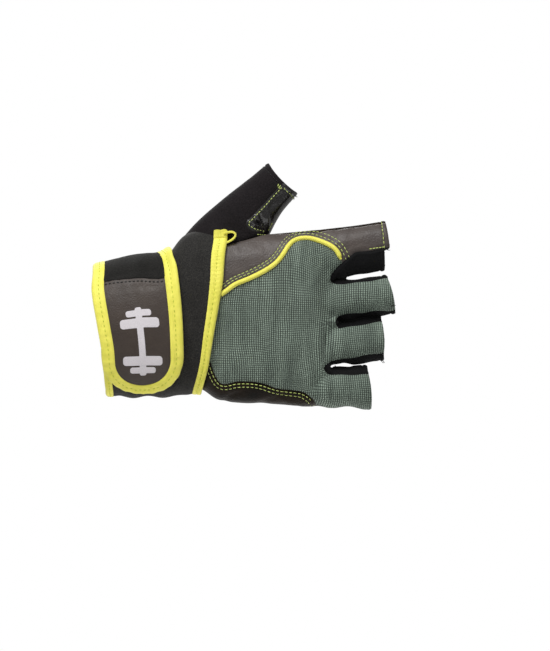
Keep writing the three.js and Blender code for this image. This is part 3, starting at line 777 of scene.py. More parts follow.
def thickened(skin, thickness, roll=0.25):
    """A closed body under a skin, with a rounded rim, and its cloth values."""
    count = len(skin.points)
    normals = normals_of(skin.points, skin.faces)
    thickness = np.broadcast_to(np.reshape(thickness, (-1, 1)), (count, 1))
    a, b = skin.border().T
    rim_points = np.unique([a, b])
    out = np.cross(skin.points[b] - skin.points[a], normals[a])
    way = np.stack([np.bincount(a, part, count) + np.bincount(b, part, count) for part in out.T], -1)
    inner = skin.points - thickness * normals
    middle = (skin.points - thickness / 2 * normals)[rim_points] + roll * unit(way[rim_points])
    number = np.full(count, -1)
    number[rim_points] = 2 * count + np.arange(len(rim_points))
    rim = [
        (b, a, number[a]), (b, number[a], number[b]),
        (number[b], number[a], a + count), (number[b], a + count, b + count),
    ]
    points = np.concatenate([skin.points, inner, middle])
    rim = [np.stack(corners, -1) for corners in rim]
    faces = np.concatenate([skin.faces, skin.faces[:, ::-1] + count, *rim])
    values = np.concatenate([skin.values, skin.values, skin.values[rim_points]])
    return (points, faces), values


# Materials
def srgb(*levels):
    """A colour given as it looks on the screen, 0 to 255."""
    shares = [level / 255 for level in levels]
    return (*(s / 12.92 if s <= 0.04045 else ((s + 0.055) / 1.055) ** 2.4 for s in shares), 1.0)


class Look:
    """A material in the making, with short names for its nodes."""

    def __init__(self, name, roughness, specular=0.5, sheen=0.0):
        self.material = bpy.data.materials.new(name)
        self.material.use_nodes = True
        self.tree = self.material.node_tree
        self.shader = self.tree.nodes["Principled BSDF"]
        self.shader.inputs["Roughness"].default_value = roughness
        self.shader.inputs["Specular IOR Level"].default_value = specular
        self.shader.inputs["Sheen Weight"].default_value = sheen

    def node(self, kind, inputs=(), **settings):
        made = self.tree.nodes.new("ShaderNode" + kind)
        for name, value in settings.items():
            setattr(made, name, value)
        for key, value in dict(inputs).items():
            self.feed(made.inputs[key], value)
        return made

    def feed(self, socket, value):
        if isinstance(value, bpy.types.NodeSocket):
            self.tree.links.new(value, socket)
        else:
            socket.default_value = value

    def place(self):
        """Object coordinates in millimetres."""
        coordinates = self.node("TexCoord").outputs["Object"]
        return self.node("VectorMath", {0: coordinates, "Scale": 1 / METRES}, operation="SCALE").outputs[0]

    def cloth(self):
        """Millimetres along and across the cloth."""
        parts = self.node("SeparateXYZ", {0: self.node("UVMap", uv_map="cloth").outputs[0]})
        return parts.outputs[0], parts.outputs[1]

    def math(self, operation, a, b=0.0, c=0.0):
        return self.node("Math", {0: a, 1: b, 2: c}, operation=operation).outputs[0]

    def ribs(self, place, pitch, wave="SINE", half=0.5):
        """Even ribs from 0 to 1 over a distance on the cloth."""
        turn = self.math("MULTIPLY", place, 2 * math.pi / pitch)
        return self.math("MULTIPLY_ADD", self.math(wave, turn), half, 0.5)

    def noise(self, size, detail=2.0, rough=0.5, stretch=(1, 1, 1)):
        """Noise from 0 to 1 whose spots are about "size" millimetres wide."""
        where = self.node("VectorMath", {0: self.place(), 1: stretch}, operation="MULTIPLY").outputs[0]
        inputs = {"Vector": where, "Scale": 1 / size, "Detail": detail, "Roughness": rough}
        return self.node("TexNoise", inputs).outputs["Fac"]

    def cells(self, size, feature="F1"):
        inputs = {"Vector": self.place(), "Scale": 1 / size}
        return self.node("TexVoronoi", inputs, feature=feature).outputs["Distance"]

    def fit(self, value, low, high, to_low=0.0, to_high=1.0):
        keys = {"Value": value, "From Min": low, "From Max": high, "To Min": to_low, "To Max": to_high}
        return self.node("MapRange", keys).outputs[0]

    def blend(self, share, first, second):
        mixed = self.node("Mix", data_type="RGBA")
        for name, value in {"Factor": share, "A": first, "B": second}.items():
            self.feed(next(s for s in mixed.inputs if s.name == name and s.enabled), value)
        return next(s for s in mixed.outputs if s.enabled)

    def drive(self, name, value):
        self.tree.links.new(value, self.shader.inputs[name])

    def bumps(self, *layers):
        """Bumps on each other, each a height from 0 to 1 and its depth in millimetres."""
        below = {}
        for height, depth in layers:
            inputs = {"Height": height, "Strength": 1.0, "Distance": depth * METRES, **below}
            below = {"Normal": self.node("Bump", inputs).outputs[0]}
        self.drive("Normal", below["Normal"])


def knit_look():
    look = Look("ribbed_knit", 0.75, specular=0.3, sheen=0.08)
    u, v = look.cloth()
    wandering_u = look.math("MULTIPLY_ADD", look.noise(26, 1), 5, u)
    wandering_v = look.math("MULTIPLY_ADD", look.noise(34, 1), 8, v)
    ribs = look.ribs(wandering_u, knit_pitch, "COSINE", -0.5)
    courses = look.ribs(wandering_v, knit_pitch, "COSINE", -0.5)
    bead = look.math("MULTIPLY", look.math("POWER", ribs, 0.8), look.fit(courses, 0, 1, 0.3, 1))
    speckle = look.noise(0.8, 1)
    clouds = look.fit(look.noise(17, 2), 0.3, 0.7, 0.8, 1.1)
    shade = look.math("MULTIPLY", look.fit(speckle, 0.25, 0.75, 0.7, 1.15), clouds)
    bead_tone = look.math("MULTIPLY", bead, shade)
    streaks = look.fit(look.noise(5, 3, stretch=(1.0, 0.3, 0.12)), 0.3, 0.7)
    dark = look.blend(streaks, srgb(16, 24, 19), srgb(32, 42, 35))
    light = look.blend(streaks, srgb(132, 148, 135), srgb(164, 181, 166))
    look.drive("Base Color", look.blend(bead_tone, dark, light))
    look.bumps((bead, 0.25), (speckle, 0.05))
    return look.material


def leather_look(name, dark, light, roughness, grain, sheen=0.0, specular=0.5, worn=0.0):
    look = Look(name, roughness, specular=specular, sheen=sheen)
    pores = look.cells(grain)
    creases = look.cells(grain * 3.2, "DISTANCE_TO_EDGE")
    tone = look.blend(look.fit(look.noise(14, 4, 0.6), 0.3, 0.7), dark, light)
    rubbed = look.fit(look.noise(5, 5, 0.7), 0.55, 0.8, 0, worn)
    look.drive("Base Color", look.blend(rubbed, tone, srgb(120, 114, 112)))
    look.drive("Roughness", look.fit(look.noise(3, 3), 0.25, 0.75, roughness - 0.07, roughness + 0.09))
    look.bumps((look.fit(creases, 0, 0.25), 0.05), (pores, 0.07), (look.noise(9, 3), 0.35))
    return look.material


def suede_look(name, dark, light, size, depth, sheen):
    look = Look(name, 0.95, specular=0.2, sheen=sheen)
    nap = look.noise(size, 3, 0.7)
    clouds = look.fit(look.noise(8, 3), 0.2, 0.8, 0.5, 1.0)
    tone = look.math("MULTIPLY", look.fit(nap, 0.3, 0.75), clouds)
    look.drive("Base Color", look.blend(tone, dark, light))
    look.bumps((nap, depth), (look.cells(size * 1.7), depth * 0.6))
    return look.material


def neoprene_look():
    look = Look("neoprene", 0.85, specular=0.25, sheen=0.05)
    u, v = look.cloth()
    speckle = look.noise(0.45, 2, 0.7)
    weave = look.math("MULTIPLY", look.ribs(u, neoprene_pitch), look.ribs(v, neoprene_pitch))
    tone = look.math("MULTIPLY_ADD", weave, 0.12, look.fit(speckle, 0.4, 0.75, 0, 0.85))
    look.drive("Base Color", look.blend(tone, srgb(9, 9, 9), srgb(56, 54, 51)))
    look.bumps((weave, 0.05), (speckle, 0.1), (look.noise(12, 2), 1.3))
    return look.material


def lime_look(name, weave_depth):
    look = Look(name, 0.6, specular=0.35, sheen=0.15)
    u, v = look.cloth()
    ribs = look.math("MULTIPLY", look.ribs(v, tape_pitch), 0.6)
    weave = look.math("MULTIPLY_ADD", look.ribs(u, tape_pitch / 0.8), 0.4, ribs)
    clouds = look.noise(7, 4, 0.6)
    tone = look.math("MULTIPLY_ADD", weave, 0.25, look.fit(clouds, 0.25, 0.75, 0, 0.75))
    clean = look.blend(tone, srgb(206, 203, 70), srgb(228, 220, 96))
    soiled = look.fit(look.noise(4, 5, 0.7), 0.62, 0.85, 0, 0.22)
    look.drive("Base Color", look.blend(soiled, clean, srgb(176, 178, 66)))
    look.bumps((weave, weave_depth), (clouds, 0.2))
    return look.material


def thread_look(name, dark, light):
    look = Look(name, 0.7, specular=0.3, sheen=0.1)
    twist = look.noise(0.35, 2, 0.7)
    look.drive("Base Color", look.blend(look.fit(twist, 0.3, 0.7), dark, light))
    look.bumps((twist, 0.05))
    return look.material


def stretch_look():
    look = Look("stretch_cloth", 0.9, specular=0.15, sheen=0.04)
    knit = look.ribs(look.cloth()[0], stretch_pitch)
    fuzz = look.noise(0.4, 2, 0.7)
    tone = look.math("MULTIPLY", look.fit(fuzz, 0.3, 0.8), look.fit(knit, 0, 1, 0.6, 1))
    look.drive("Base Color", look.blend(tone, srgb(5, 5, 6), srgb(24, 24, 26)))
    look.bumps((knit, 0.05), (fuzz, 0.08))
    return look.material


knit = knit_look()
index_leather = leather_look(
    "index_leather", srgb(58, 51, 48), srgb(72, 64, 60),
    roughness=0.48, grain=0.5, sheen=0.08, specular=0.32, worn=0.02,
)
palm_leather = leather_look(
    "palm_leather", srgb(7, 6, 4), srgb(34, 24, 14), roughness=0.36, grain=0.85, specular=0.08,
)
thumb_gloss = leather_look(
    "thumb_leather", srgb(9, 8, 9), srgb(20, 18, 20), roughness=0.25, grain=1.1, specular=0.8,
)
patch_leather = leather_look(
    "patch_leather", srgb(50, 42, 37), srgb(60, 51, 45),
    roughness=0.52, grain=0.45, sheen=0.03, specular=0.3, worn=0.02,
)
thumb_suede = suede_look("thumb_suede", srgb(7, 5, 6), srgb(34, 29, 31), 0.7, 0.16, sheen=0.03)
strap_pile = suede_look("strap_pile", srgb(10, 10, 9), srgb(42, 41, 39), 0.5, 0.2, sheen=0.05)
loop_pile = suede_look("loop_pile", srgb(12, 12, 12), srgb(50, 50, 50), 0.9, 0.35, sheen=0.1)
neoprene = neoprene_look()
stretch_cloth = stretch_look()
lime_tape = lime_look("lime_tape", 0.07)
lime_cord = lime_look("lime_cord", 0.1)
lime_thread = thread_look("lime_thread", srgb(150, 168, 84), srgb(208, 220, 132))
deep_lime_thread = thread_look("deep_lime_thread", srgb(150, 160, 40), srgb(190, 200, 60))
black_thread = thread_look("black_thread", srgb(10, 10, 10), srgb(34, 34, 34))
print_grey = thread_look("print_grey", srgb(184, 180, 184), srgb(204, 199, 203))


# The hand's skin, with its stalls
def web(i):
    """The cloth between the roots of two stalls."""
    row = row_of(web_rows, i)
    still = {
        "y": 0, "z": row["middle"], "tilt": 0, "half": row["half"], "back": web_depth, "palm": web_depth,
        "square": web_square,
    }

    def limb(at):
        section = {name: value + 0 * at for name, value in still.items()}
        return {"x": lerp(row["end"] - web_length, row["end"], at), **section}

    return limb


def hand_skin():
    cuts = np.concatenate([np.linspace(0, 0.9, 46), np.linspace(0.915, 0.97, 6)])
    stations = np.linspace(0, 1, 16)
    bodies = [tube(hand, cuts, 120, panel_lift, before=cuff_tuck, after=panel_lift)]
    bodies += [tube(stall(i), stations, 72, panel_lift, after=stall_overrun) for i in range(4)]
    bodies += [tube(web(i), stations, 48, 0) for i in range(3)]
    points, faces = remeshed(*joined(bodies), skin_voxel)
    points = relaxed(points, faces, 4)
    near_web = smooth(107, 113, points[:, 0]) * (1 - smooth(121, 125, points[:, 0]))
    points = relaxed(points, faces, 5, weight=near_web)
    x, _, z = points.T
    wavy = edge_wave * smooth(-28, -34, z) * smooth(104, 112, x)
    points[:, 2] += wavy * np.cos((x - edge_wave_at) * 2 * math.pi / edge_wave_length)
    return Skin(points, faces)


def stall_at(x):
    """The middle and half width of the four stalls at a distance along the hand."""
    middles, halves = [], []
    for i in range(4):
        root_x, end_x = stall_span(row_of(stall_rows, i))
        section = stall(i)((x - root_x) / (end_x - root_x))
        middles.append(section["z"])
        halves.append(section["half"] + panel_lift)
    return np.array(middles), np.array(halves)


def cuff_edge(z, side):
    return column(cuff_edge_rows, side, z / palm_width, "z") * palm_length


def past_cuff_edge(points):
    x, y, z = points.T
    return x - np.where(y < 0, cuff_edge(z, "back"), cuff_edge(z, "palm"))


def stall_end_field(points):
    """How far a point lies inside its stall's open end. It is far inside everywhere on the palm."""
    x, _, z = points.T
    middles, halves = stall_at(x)
    own = np.argmin(np.abs(z - middles) / halves, axis=0)
    field = np.full(len(x), far_inside)
    for i in range(4):
        along, across, half = past_end(stall(i), x, z)
        mine = (own == i) & (x > palm_length + 1)
        short = index_gusset_short * smooth(-1.6, -2.6, across) if i == 0 else 0
        field[mine] = (0.3 - along - 0.6 * (across / half) ** 2 - short)[mine]
    return field


def gusset_field(i, x, z, above=None):
    """Positive inside a gusset's outline, which laps over the stalls above and below it."""
    row = row_of(gusset_rows, i)
    above = row["above"] if above is None else above
    middles, halves = stall_at(x)
    widening = np.sqrt(np.clip((x - row["tip"]) / (1 + above), 0, 1))
    upper, lower = middles[i] - halves[i], middles[i + 1] + halves[i + 1]
    middle = (upper + lower) / 2
    sway = 0.25 * np.sin(x * 2 * math.pi / 14 + 2 * i)
    top = lerp(middle, upper + above + sway, widening)
    bottom = lerp(middle, lower - row["below"] + 0.7 * sway, widening)
    return np.minimum(np.minimum(top - z, z - bottom), (x - row["tip"]) * 2)


piping_line = seam_line(piping_seam_rows, 60)
# Past the piping's end, the panels part on a line that turns in between the stalls
piping_end = piping_line[-1]
piping_turn = piping_end + [2, -4]
beyond_stalls = [300, piping_turn[1]]
piping_field_line = np.concatenate([piping_line, [piping_turn, beyond_stalls]])
palm_line = seam_line(palm_seam_rows, 60)
thumb_line = seam_line(thumb_seam_rows, 42)
thumb_split = column(thumb_rows, "y", 0.8) * palm_depth


def arc(y, z, middle, half, depth, square, flatness):
    """The distance round a rounded section, from the middle of its back."""
    across = np.clip(np.abs(z - middle) / half, 0, 1) ** (square / 2)
    turn = np.linspace(0, 1, 200) ** 2 * math.pi / 2
    table_z = np.sin(turn) ** (2 / square)
    table_y = np.cos(turn) ** (2 / square) * flatness
    table = lengths_along(np.stack([table_z, table_y], -1))
    place = np.arctan2(across, np.clip(np.abs(y) / depth, 0, 1) ** (square / 2))
    return middle + np.sign(z - middle) * half * np.interp(place, turn, table)


def arc_values(points):
    """Distances along and round the hand, for weaves that follow the cloth."""
    x, y, z = points.T
    section = hand(np.clip(x / palm_length, 0, 0.97))
    middles, halves = stall_at(np.clip(x, 102, 150))
    own = np.argmin(np.abs(z - middles) / halves, axis=0), np.arange(len(x))
    on_hand = arc(y, z, section["z"], section["half"] + panel_lift, palm_depth * 0.43, 2.6, 0.4)
    on_stall = arc(y, z, middles[own], halves[own], finger_depth / 2 + panel_lift, 2.25, 1.1)
    return np.stack([x, lerp(on_hand, on_stall, smooth(106, 120, x))], -1)


def thumb_body(lift, before=0, after=0):
    return tube(thumb, np.linspace(0, 1, thumb_sides), thumb_sides, lift, before, after)


hand_whole = hand_skin()
hand_tree = tree_of(hand_whole.points, hand_whole.faces)
thumb_tree = tree_of(*thumb_body(panel_lift, before=4, after=20))


def on_back(skin):
    return skin.points[:, 1] < back_only


def left_of(skin, line):
    return along_line(line, skin.points[:, 0], skin.points[:, 2])[0]


def open_thumb(skin):
    """Cuts the hole over which the thumb stands."""
    x, _, z = skin.points.T
    near = (z > 5) & (x < 100)  # the part of the skin that can meet the thumb
    field = np.full(len(x), far_inside)
    field[near] = height_over(thumb_tree, skin.points[near])
    skin.cut("kept", field, near)
    known = np.ones(len(skin.points), bool)
    known[:len(near)] = near
    skin.keep(skin.marks["kept"] | ~known[skin.faces].all(1))


def cut_hand(skin):
    """Opens the skin at the wrist, the stalls and the thumb, and marks its panels."""
    skin.values = arc_values(skin.points)
    skin.trim(past_cuff_edge(skin.points) + cuff_tuck)
    skin.trim(stall_end_field(skin.points))
    open_thumb(skin)
    x, y, z = skin.points.T
    skin.cut("back", -y - index_edge_lap * smooth(84, 96, x) * smooth(44, 47, z))
    skin.cut("upper", left_of(skin, piping_field_line), on_back(skin))
    skin.cut("heel", -left_of(skin, palm_line), on_back(skin))
    for i in range(3):
        skin.cut(f"gusset_{i}", gusset_field(i, skin.points[:, 0], skin.points[:, 2]))
    wide = gusset_field(0, skin.points[:, 0], skin.points[:, 2], index_gusset_back_lap)
    skin.cut("gusset_wide", wide, on_back(skin))


cut_hand(hand_whole)
hand_whole.normals = normals_of(hand_whole.points, hand_whole.faces)
marks = hand_whole.marks
marks["gusset_0"] |= marks["gusset_wide"] & marks["back"]
in_gusset = marks["gusset_0"] | marks["gusset_1"] | marks["gusset_2"]
panels = {
    "knit_back": marks["back"] & ~marks["upper"] & ~marks["heel"] & ~in_gusset,
    "index_leather": marks["back"] & marks["upper"] & ~in_gusset,
}
panels["palm_leather"] = ~in_gusset & ~panels["knit_back"] & ~panels["index_leather"]


# The panels of the hand
outer_skins = []


def folds(table, x, z):
    """The height of some soft folds."""
    total = np.zeros(x.shape)
    for middle_x, middle_z, direction, long, wide, height in zip(*table.values()):
        along, across = turned(x - middle_x, z - middle_z, direction)
        total += height * bell(along, long) * bell(across, wide)
    return total


def seam_height(kind, away, end):
    """Cloth dips where it is sewn and stands a little proud beside the seam. Open ends are turned hems."""
    seam = row_of(seam_rows, kind)
    height = -seam["valley"] * bell(away, seam["width"])
    height += seam["ridge"] * bell(away - seam["ridge_at"], seam["ridge_width"])
    height += seam["lip"] * (1 - smooth(1.9, 2.3, end)) - seam["hem"] * bell(end - hem_inset, 0.45)
    return height - 0.45 * bell(end, 0.5)


def sewn_panel(whole, wanted, kind, end_field, shape, name, material, node):
    """A panel of a limb's skin, with its seams, its hem and a shape of its own."""
    skin = whole.part(wanted)
    end = end_field(skin.points)
    border = np.unique(skin.border())
    sewn = np.abs(end[border]) > on_open_edge
    if whole is hand_whole:
        sewn &= past_cuff_edge(skin.points[border]) > 3 * on_open_edge - cuff_tuck
    away = distance_to(skin.points, skin.points[border[sewn]])
    height = seam_height(kind, away, end) + shape(skin, away)
    skin.points = skin.points + height[:, None] * whole.normals[skin.source]
    body, values = thickened(skin, panel_thickness)
    outer_skins.append((skin.points, skin.faces))
    piece(name, body, material, [node], uv=values)


def knit_shape(skin, away):
    x, _, z = skin.points.T
    ripple = 0.06 * np.sin(x * 2 * math.pi / 9 + z * 0.3) * np.sin(z * 2 * math.pi / 13)
    return folds(knit_folds, x, z) + ripple * smooth(1, 5, away)


def stitch_dents(distance, along, stitch_rows, depth, middle, spread):
    """Rows of stitches draw the leather in, and it puckers between them."""
    sunk = sum(bell(distance - row, 0.4) for row in stitch_rows)
    puckers = np.sin(along * 2 * math.pi / stitch_pitch) * bell(distance - middle, spread)
    return -depth * sunk + 0.05 * puckers


def index_shape(skin, away):
    x, _, z = skin.points.T
    distance, along = along_line(piping_line, x, z)
    dents = stitch_dents(distance, along, piping_stitch_rows, depth=0.16, middle=3.0, spread=1.4)
    return folds(index_folds, x, z) + (1 - smooth(121, 125, x)) * dents


def gusset_shape(i, skin, away):
    x = skin.points[:, 0]
    row = row_of(gusset_rows, i)
    share = smooth(row["first"], row["first"] + 6, x)
    if stall_names[i] == "ring":
        faces_thumb_side = smooth(0, 0.5, hand_whole.normals[skin.source, 2])
        share = np.maximum(share, 0.8 * faces_thumb_side * smooth(112, 117, x))
    bulge = row["bulge"] * smooth(0, 5, away) * share * smooth(row["last"], row["last"] - 3, x)
    rim = 0.4 * bell(away - 1.1, 0.7) if stall_names[i] == "index" else 0
    wrinkles = 0.15 * np.sin(x * 2 * math.pi / 11 + i) * smooth(0, 4, away)
    return rim + bulge + wrinkles


def palm_shape(skin, away):
    x, y, z = skin.points.T
    distance, along = along_line(palm_line, x, z)
    dents = stitch_dents(-distance, along, palm_stitch_rows, depth=0.14, middle=1.8, spread=1.2)
    faces_palm = np.maximum(smooth(2, 8, y), smooth(-27, -30, z) * smooth(1.5, 4, away))
    return np.where((y < 0) & (x < 112), dents, 0) + folds(palm_folds, x, z) * faces_palm


def thumb_shape(skin, away):
    return folds(thumb_folds, skin.points[:, 0], skin.points[:, 2]) * smooth(0, 3, away)


def make_hand_panels():
    for name, node, kind, shape, material, slot in (
        ("knit_back", "back_panel", knit_seam, knit_shape, knit, "knit"),
        ("index_leather", "index_panel", cloth_seam, index_shape, index_leather, "glove_leather"),
        ("palm_leather", "palm_panel", cloth_seam, palm_shape, palm_leather, "glove_leather"),
    ):
        sewn_panel(hand_whole, panels[name], kind, stall_end_field, shape, name, material, node)
    for i in range(3):
        make_gusset(i)


def make_gusset(i):
    name = f"gusset_{stall_names[i]}_{stall_names[i + 1]}"
    sewn_panel(
        hand_whole, marks[f"gusset_{i}"], cloth_seam, stall_end_field,
        lambda skin, away: gusset_shape(i, skin, away),
        name, stretch_cloth, name,
    )


# The thumb
def thumb_end_field(points):
    along, across, half = past_end(thumb, points[:, 0], points[:, 2])
    return 0.9 * (across / half) ** 2 - along - 0.4


def thumb_skin():
    points, faces = thumb_body(panel_lift, after=thumb_overrun)
    stations = (len(points) - 2) // thumb_sides
    along = np.append(np.linspace(0, thumb_length, stations - 1), thumb_length + thumb_overrun)
    grid = np.stack(np.broadcast_arrays(along[:, None], np.arange(thumb_sides) * 0.85), -1).reshape(-1, 2)
    caps = np.array([(along[-1], 0.0)] * 2)
    skin = Skin(points, faces, np.concatenate([grid, caps]))
    skin.trim(thumb_end_field(skin.points))
    skin.trim(height_over(hand_tree, skin.points) + 0.05)
    skin.cut("palm_side", skin.points[:, 1] - thumb_split)
    skin.cut("inner", left_of(skin, thumb_line), skin.points[:, 1] < thumb_split + back_only)
    skin.normals = normals_of(skin.points, skin.faces)
    return skin


def make_thumb_panels(whole):
    inner_side = whole.marks["palm_side"] | whole.marks["inner"]
    for name, wanted, material, slot in (
        ("thumb_sleeve", ~inner_side, thumb_suede, "stretch_cloth"),
        ("thumb_leather", inner_side, thumb_gloss, "glove_leather"),
    ):
        sewn_panel(whole, wanted, thumb_seam, thumb_end_field, thumb_shape, name, material, name)


make_hand_panels()
make_thumb_panels(thumb_skin())
outer_tree = tree_of(*joined(outer_skins))


# The wrist: a place on it is a distance along the hand, an angle round it and a height over the hand
def on_wrist(x, angle, lift):
    x, angle, lift = np.broadcast_arrays(np.asarray(x, float), angle, lift)
    return on_limb(hand, x / palm_length, angle, lift)


def cuff_end(angle):
    """The distance along the hand at which the wrist meets the cuff's edge."""
    low, high = np.zeros(angle.shape), np.full(angle.shape, float(palm_length))
    share = np.maximum(np.sin(np.radians(angle)), 0)
    for _ in range(26):
        middle = (low + high) / 2
        point = on_wrist(middle, angle, cuff_base)
        edge = lerp(cuff_edge(point[..., 2], "back"), cuff_edge(point[..., 2], "palm"), share)
        short = point[..., 0] < edge
        low, high = np.where(short, middle, low), np.where(short, high, middle)
    return low


def facing_out(points, faces, inside):
    """The faces turned so that they look away from a point inside."""
    a, b, c = (points[faces[:, k]] for k in range(3))
    looks = np.einsum("ij,ij->i", np.cross(b - a, c - a), (a + b + c) / 3 - inside).sum()
    return faces if looks > 0 else faces[:, ::-1]


def wave(x, z, lengths, seed):
    """A few soft waves in different directions, about 1 high in all."""
    draw = np.random.default_rng(seed)
    total = 0
    for length in lengths:
        turn, phase = draw.uniform(0, 2 * math.pi, 2)
        total = total + np.sin((x * math.cos(turn) + z * math.sin(turn)) * 2 * math.pi / length + phase)
    return total / len(lengths)


def make_cuff():
    angle, share = np.meshgrid(np.arange(0, 360, 1.5), np.linspace(0, 1, 56), indexing="ij")
    start = cuff_start + wrist_tape_width(angle) - 0.5
    x = lerp(start, cuff_end(angle) - tape_width + 1.4, share)
    flat = on_wrist(x, angle, cuff_top)
    flat_x, flat_y, flat_z = np.moveaxis(flat, -1, 0)
    rumple = 0.28 * wave(flat_x, flat_z + flat_y, (14, 19, 27), 3)
    rumple += 0.5 * bell(flat_z + 31, 3.5) * np.sin(flat_x * 2 * math.pi / 15 + 0.6)
    rumple += folds(cuff_folds, flat_x, flat_z)
    calm = smooth(0, 0.1, share) * smooth(0, 0.1, 1 - share)
    points = on_wrist(x, angle, cuff_top + rumple * calm)
    skin = wrist_skin(points, x, angle / 360 * wrist_girth, close_across=True)
    skin.trim(height_over(thumb_tree, skin.points) - 0.1)
    body, values = thickened(skin.part(), neoprene_thickness)
    piece("cuff", body, neoprene, ["cuff"], uv=values)


def wrist_skin(points, u, v, close_across=False):
    """A skin over a grid of points that lie round the wrist."""
    points = points.reshape(-1, 3)
    faces = facing_out(points, grid_faces(*u.shape, close_across=close_across), wrist_middle)
    return Skin(points, faces, np.stack([u, v], -1).reshape(-1, 2))


def tape_rings(edge_x, angle, base, towards, width):
    """Sections of a folded tape whose edge lies at some places of the wrist and that runs inwards from it."""
    inset, share = tape_profile.T
    x = edge_x[:, None] + towards * inset * width[:, None]
    pucker = 0.06 * np.sin(np.arange(len(edge_x)) * 2 * math.pi / 3.1)[:, None] * bell(inset - 0.56, 0.3)
    return on_wrist(x, angle[:, None], base + (share + pucker) * tape_thickness)


def ring_values(rings, extra):
    """Millimetres across and along a tape, for its weave."""
    across, along = lengths_along(rings[0]), lengths_along(rings[:, 0])
    grid = np.stack(np.broadcast_arrays(across[None, :], along[:, None]), -1).reshape(-1, 2)
    return np.concatenate([grid, np.zeros((extra, 2))])


def make_tape(name, rings, nodes=(), closed=False, material=lime_tape):
    body = swept(rings, closed)
    values = ring_values(rings, len(body[0]) - rings.shape[0] * rings.shape[1])
    piece(name, body, material, nodes, uv=values)


def wrist_tape_width(angle):
    """The tape at the wrist is pulled narrow on the little-finger side."""
    z = on_wrist(cuff_start, angle, cuff_tape_base)[..., 2]
    return tape_width - 2.4 * smooth(-8, -22, z)


def make_cuff_tapes():
    angle = np.arange(0, 360, 1.2)
    wobble = 0.15 * np.sin(np.radians(angle * 7)) + 0.1 * np.sin(np.radians(angle * 11 + 40))
    wrist = tape_rings(cuff_start + wobble, angle, cuff_tape_base, 1, wrist_tape_width(angle))
    make_tape("cuff_wrist_tape", wrist, ["cuff_wrist_tape"], closed=True)
    start, end = hand_tape_ends()
    angle = np.arange(start, end, 1.0)
    width = tape_width - smooth(20, 0, on_wrist(wrist_middle[0], angle, 0)[:, 2])
    hand_side = tape_rings(cuff_end(angle), angle, cuff_tape_base, -1, width)
    hand_side = np.concatenate([hand_side, tape_tail(hand_side[-1])])
    make_tape("cuff_hand_tape", hand_side, ["cuff_hand_tape"])
    first = wrist[:1, fold_line]
    return [np.concatenate([wrist[:, fold_line], first]), hand_side[:, fold_line]]


def tape_tail(ring):
    """The tape's free end, which stands up past the cuff and lies on the thumb."""
    rings = []
    for rise in np.arange(0.6, 4.3, 0.6):
        moved = ring + np.array([0.05, 0, 1]) * rise
        under, _ = back_surface(moved[:, [0, 2]], outer_tree)
        gap = under[:, 1].min() - moved[:, 1].max() if len(under) else 0
        rings.append(moved + [0, min(gap, 0), 0])
    return np.array(rings)


def hand_tape_ends():
    """The angles at which the tape comes off the thumb: back, then palm."""
    angle = np.arange(-200.0, 200.0, 1.0)
    middle = on_wrist(cuff_end(angle) - tape_width / 2, angle, cuff_tape_base + 1)
    clear = height_over(thumb_tree, middle) > 0.4
    on_palm = angle[(angle > 0) & clear][0]
    return on_palm - 360, angle[(angle < 0) & clear][-1] + 1


# The strap lies round the wrist over the cuff. Its length is measured along its middle, back from the tip.
strap_middle = column(strap_rows, "centre", 0.5) * palm_length
girth_angles = strap_tip_angle + np.arange(0, 400.0)
girth_points = on_wrist(strap_middle, girth_angles, strap_top)
girth = lengths_along(girth_points)


def strap_angle(length):
    before = np.minimum(length, 0) / girth[1]
    return np.interp(length, girth, girth_angles) + before


def strap_half(length):
    return column(strap_rows, "half", length / strap_length) * strap_width


def strap_centre(length):
    return column(strap_rows, "centre", length / strap_length) * palm_length


tip_radius = float(strap_half(np.array(0.0)))


def strap_inside(length, across, inset):
    """How far a place lies inside the strap's outline, drawn in by an inset."""
    straight = strap_half(length) - inset - np.abs(across)
    rounded = tip_radius - inset - np.hypot(tip_radius - length, across)
    return np.where(length > tip_radius, straight, rounded)


def strap_sheet(name, material, nodes, first, last, spacing, inset, lift, thickness, keep):
    """A sheet on the strap between two lengths. lift gives its outer height, keep what else bounds it."""
    half = strap_width / 2 + 1
    lengths, places = np.arange(first, last + spacing, spacing), np.arange(-half, half, spacing)
    length, across = np.meshgrid(lengths, places, indexing="ij")
    points = on_wrist(strap_centre(length) + across, strap_angle(length), lift(length, across))
    skin = wrist_skin(points, length, across)
    skin.trim(strap_inside(*skin.values.T, inset))
    skin.trim(keep(*skin.values.T))
    skin = skin.part()
    body, values = thickened(skin, thickness(*skin.values.T), roll=0.1)
    piece(name, body, material, nodes, uv=values)


def patch_reach(length, across):
    """Positive on the strap's leather patch. Its straight end leans a little."""
    return patch_length - length - patch_slant * across / (strap_width / 2)


def patch_lift(length, across):
    inside = strap_inside(length, across, tape_width)
    crown = 0.25 * smooth(0, 5, inside) - 0.3 * bell(inside, 0.6)
    reach = patch_reach(length, across)
    edge = -0.22 * bell(reach, 0.5) - 0.18 * bell(reach - patch_stitch_inset, 0.4)
    dents = 0.2 * wave(length, across, (21, 33), 5) + folds(patch_folds, length, across)
    return strap_top + crown + edge + dents * smooth(0, 5, inside)


def pile_lift(length, across):
    reach = patch_reach(length, across)
    under_patch = smooth(-0.6, 0.4, reach)
    fold = 0.35 * bell(length - 71, 4) - 0.4 * bell(length - 66, 1.8)
    fold = fold + 0.2 * wave(length, across, (11, 17), 8)
    fold = fold * smooth(0, 5, strap_inside(length, across, tape_width))
    fold = fold + 0.8 * bell(length - 76, 9) * smooth(0, 14, across)
    fold = fold * (1 - under_patch) * smooth(-0.6, -4, reach)
    return strap_top + fold - under_patch * (patch_thickness + 0.25)


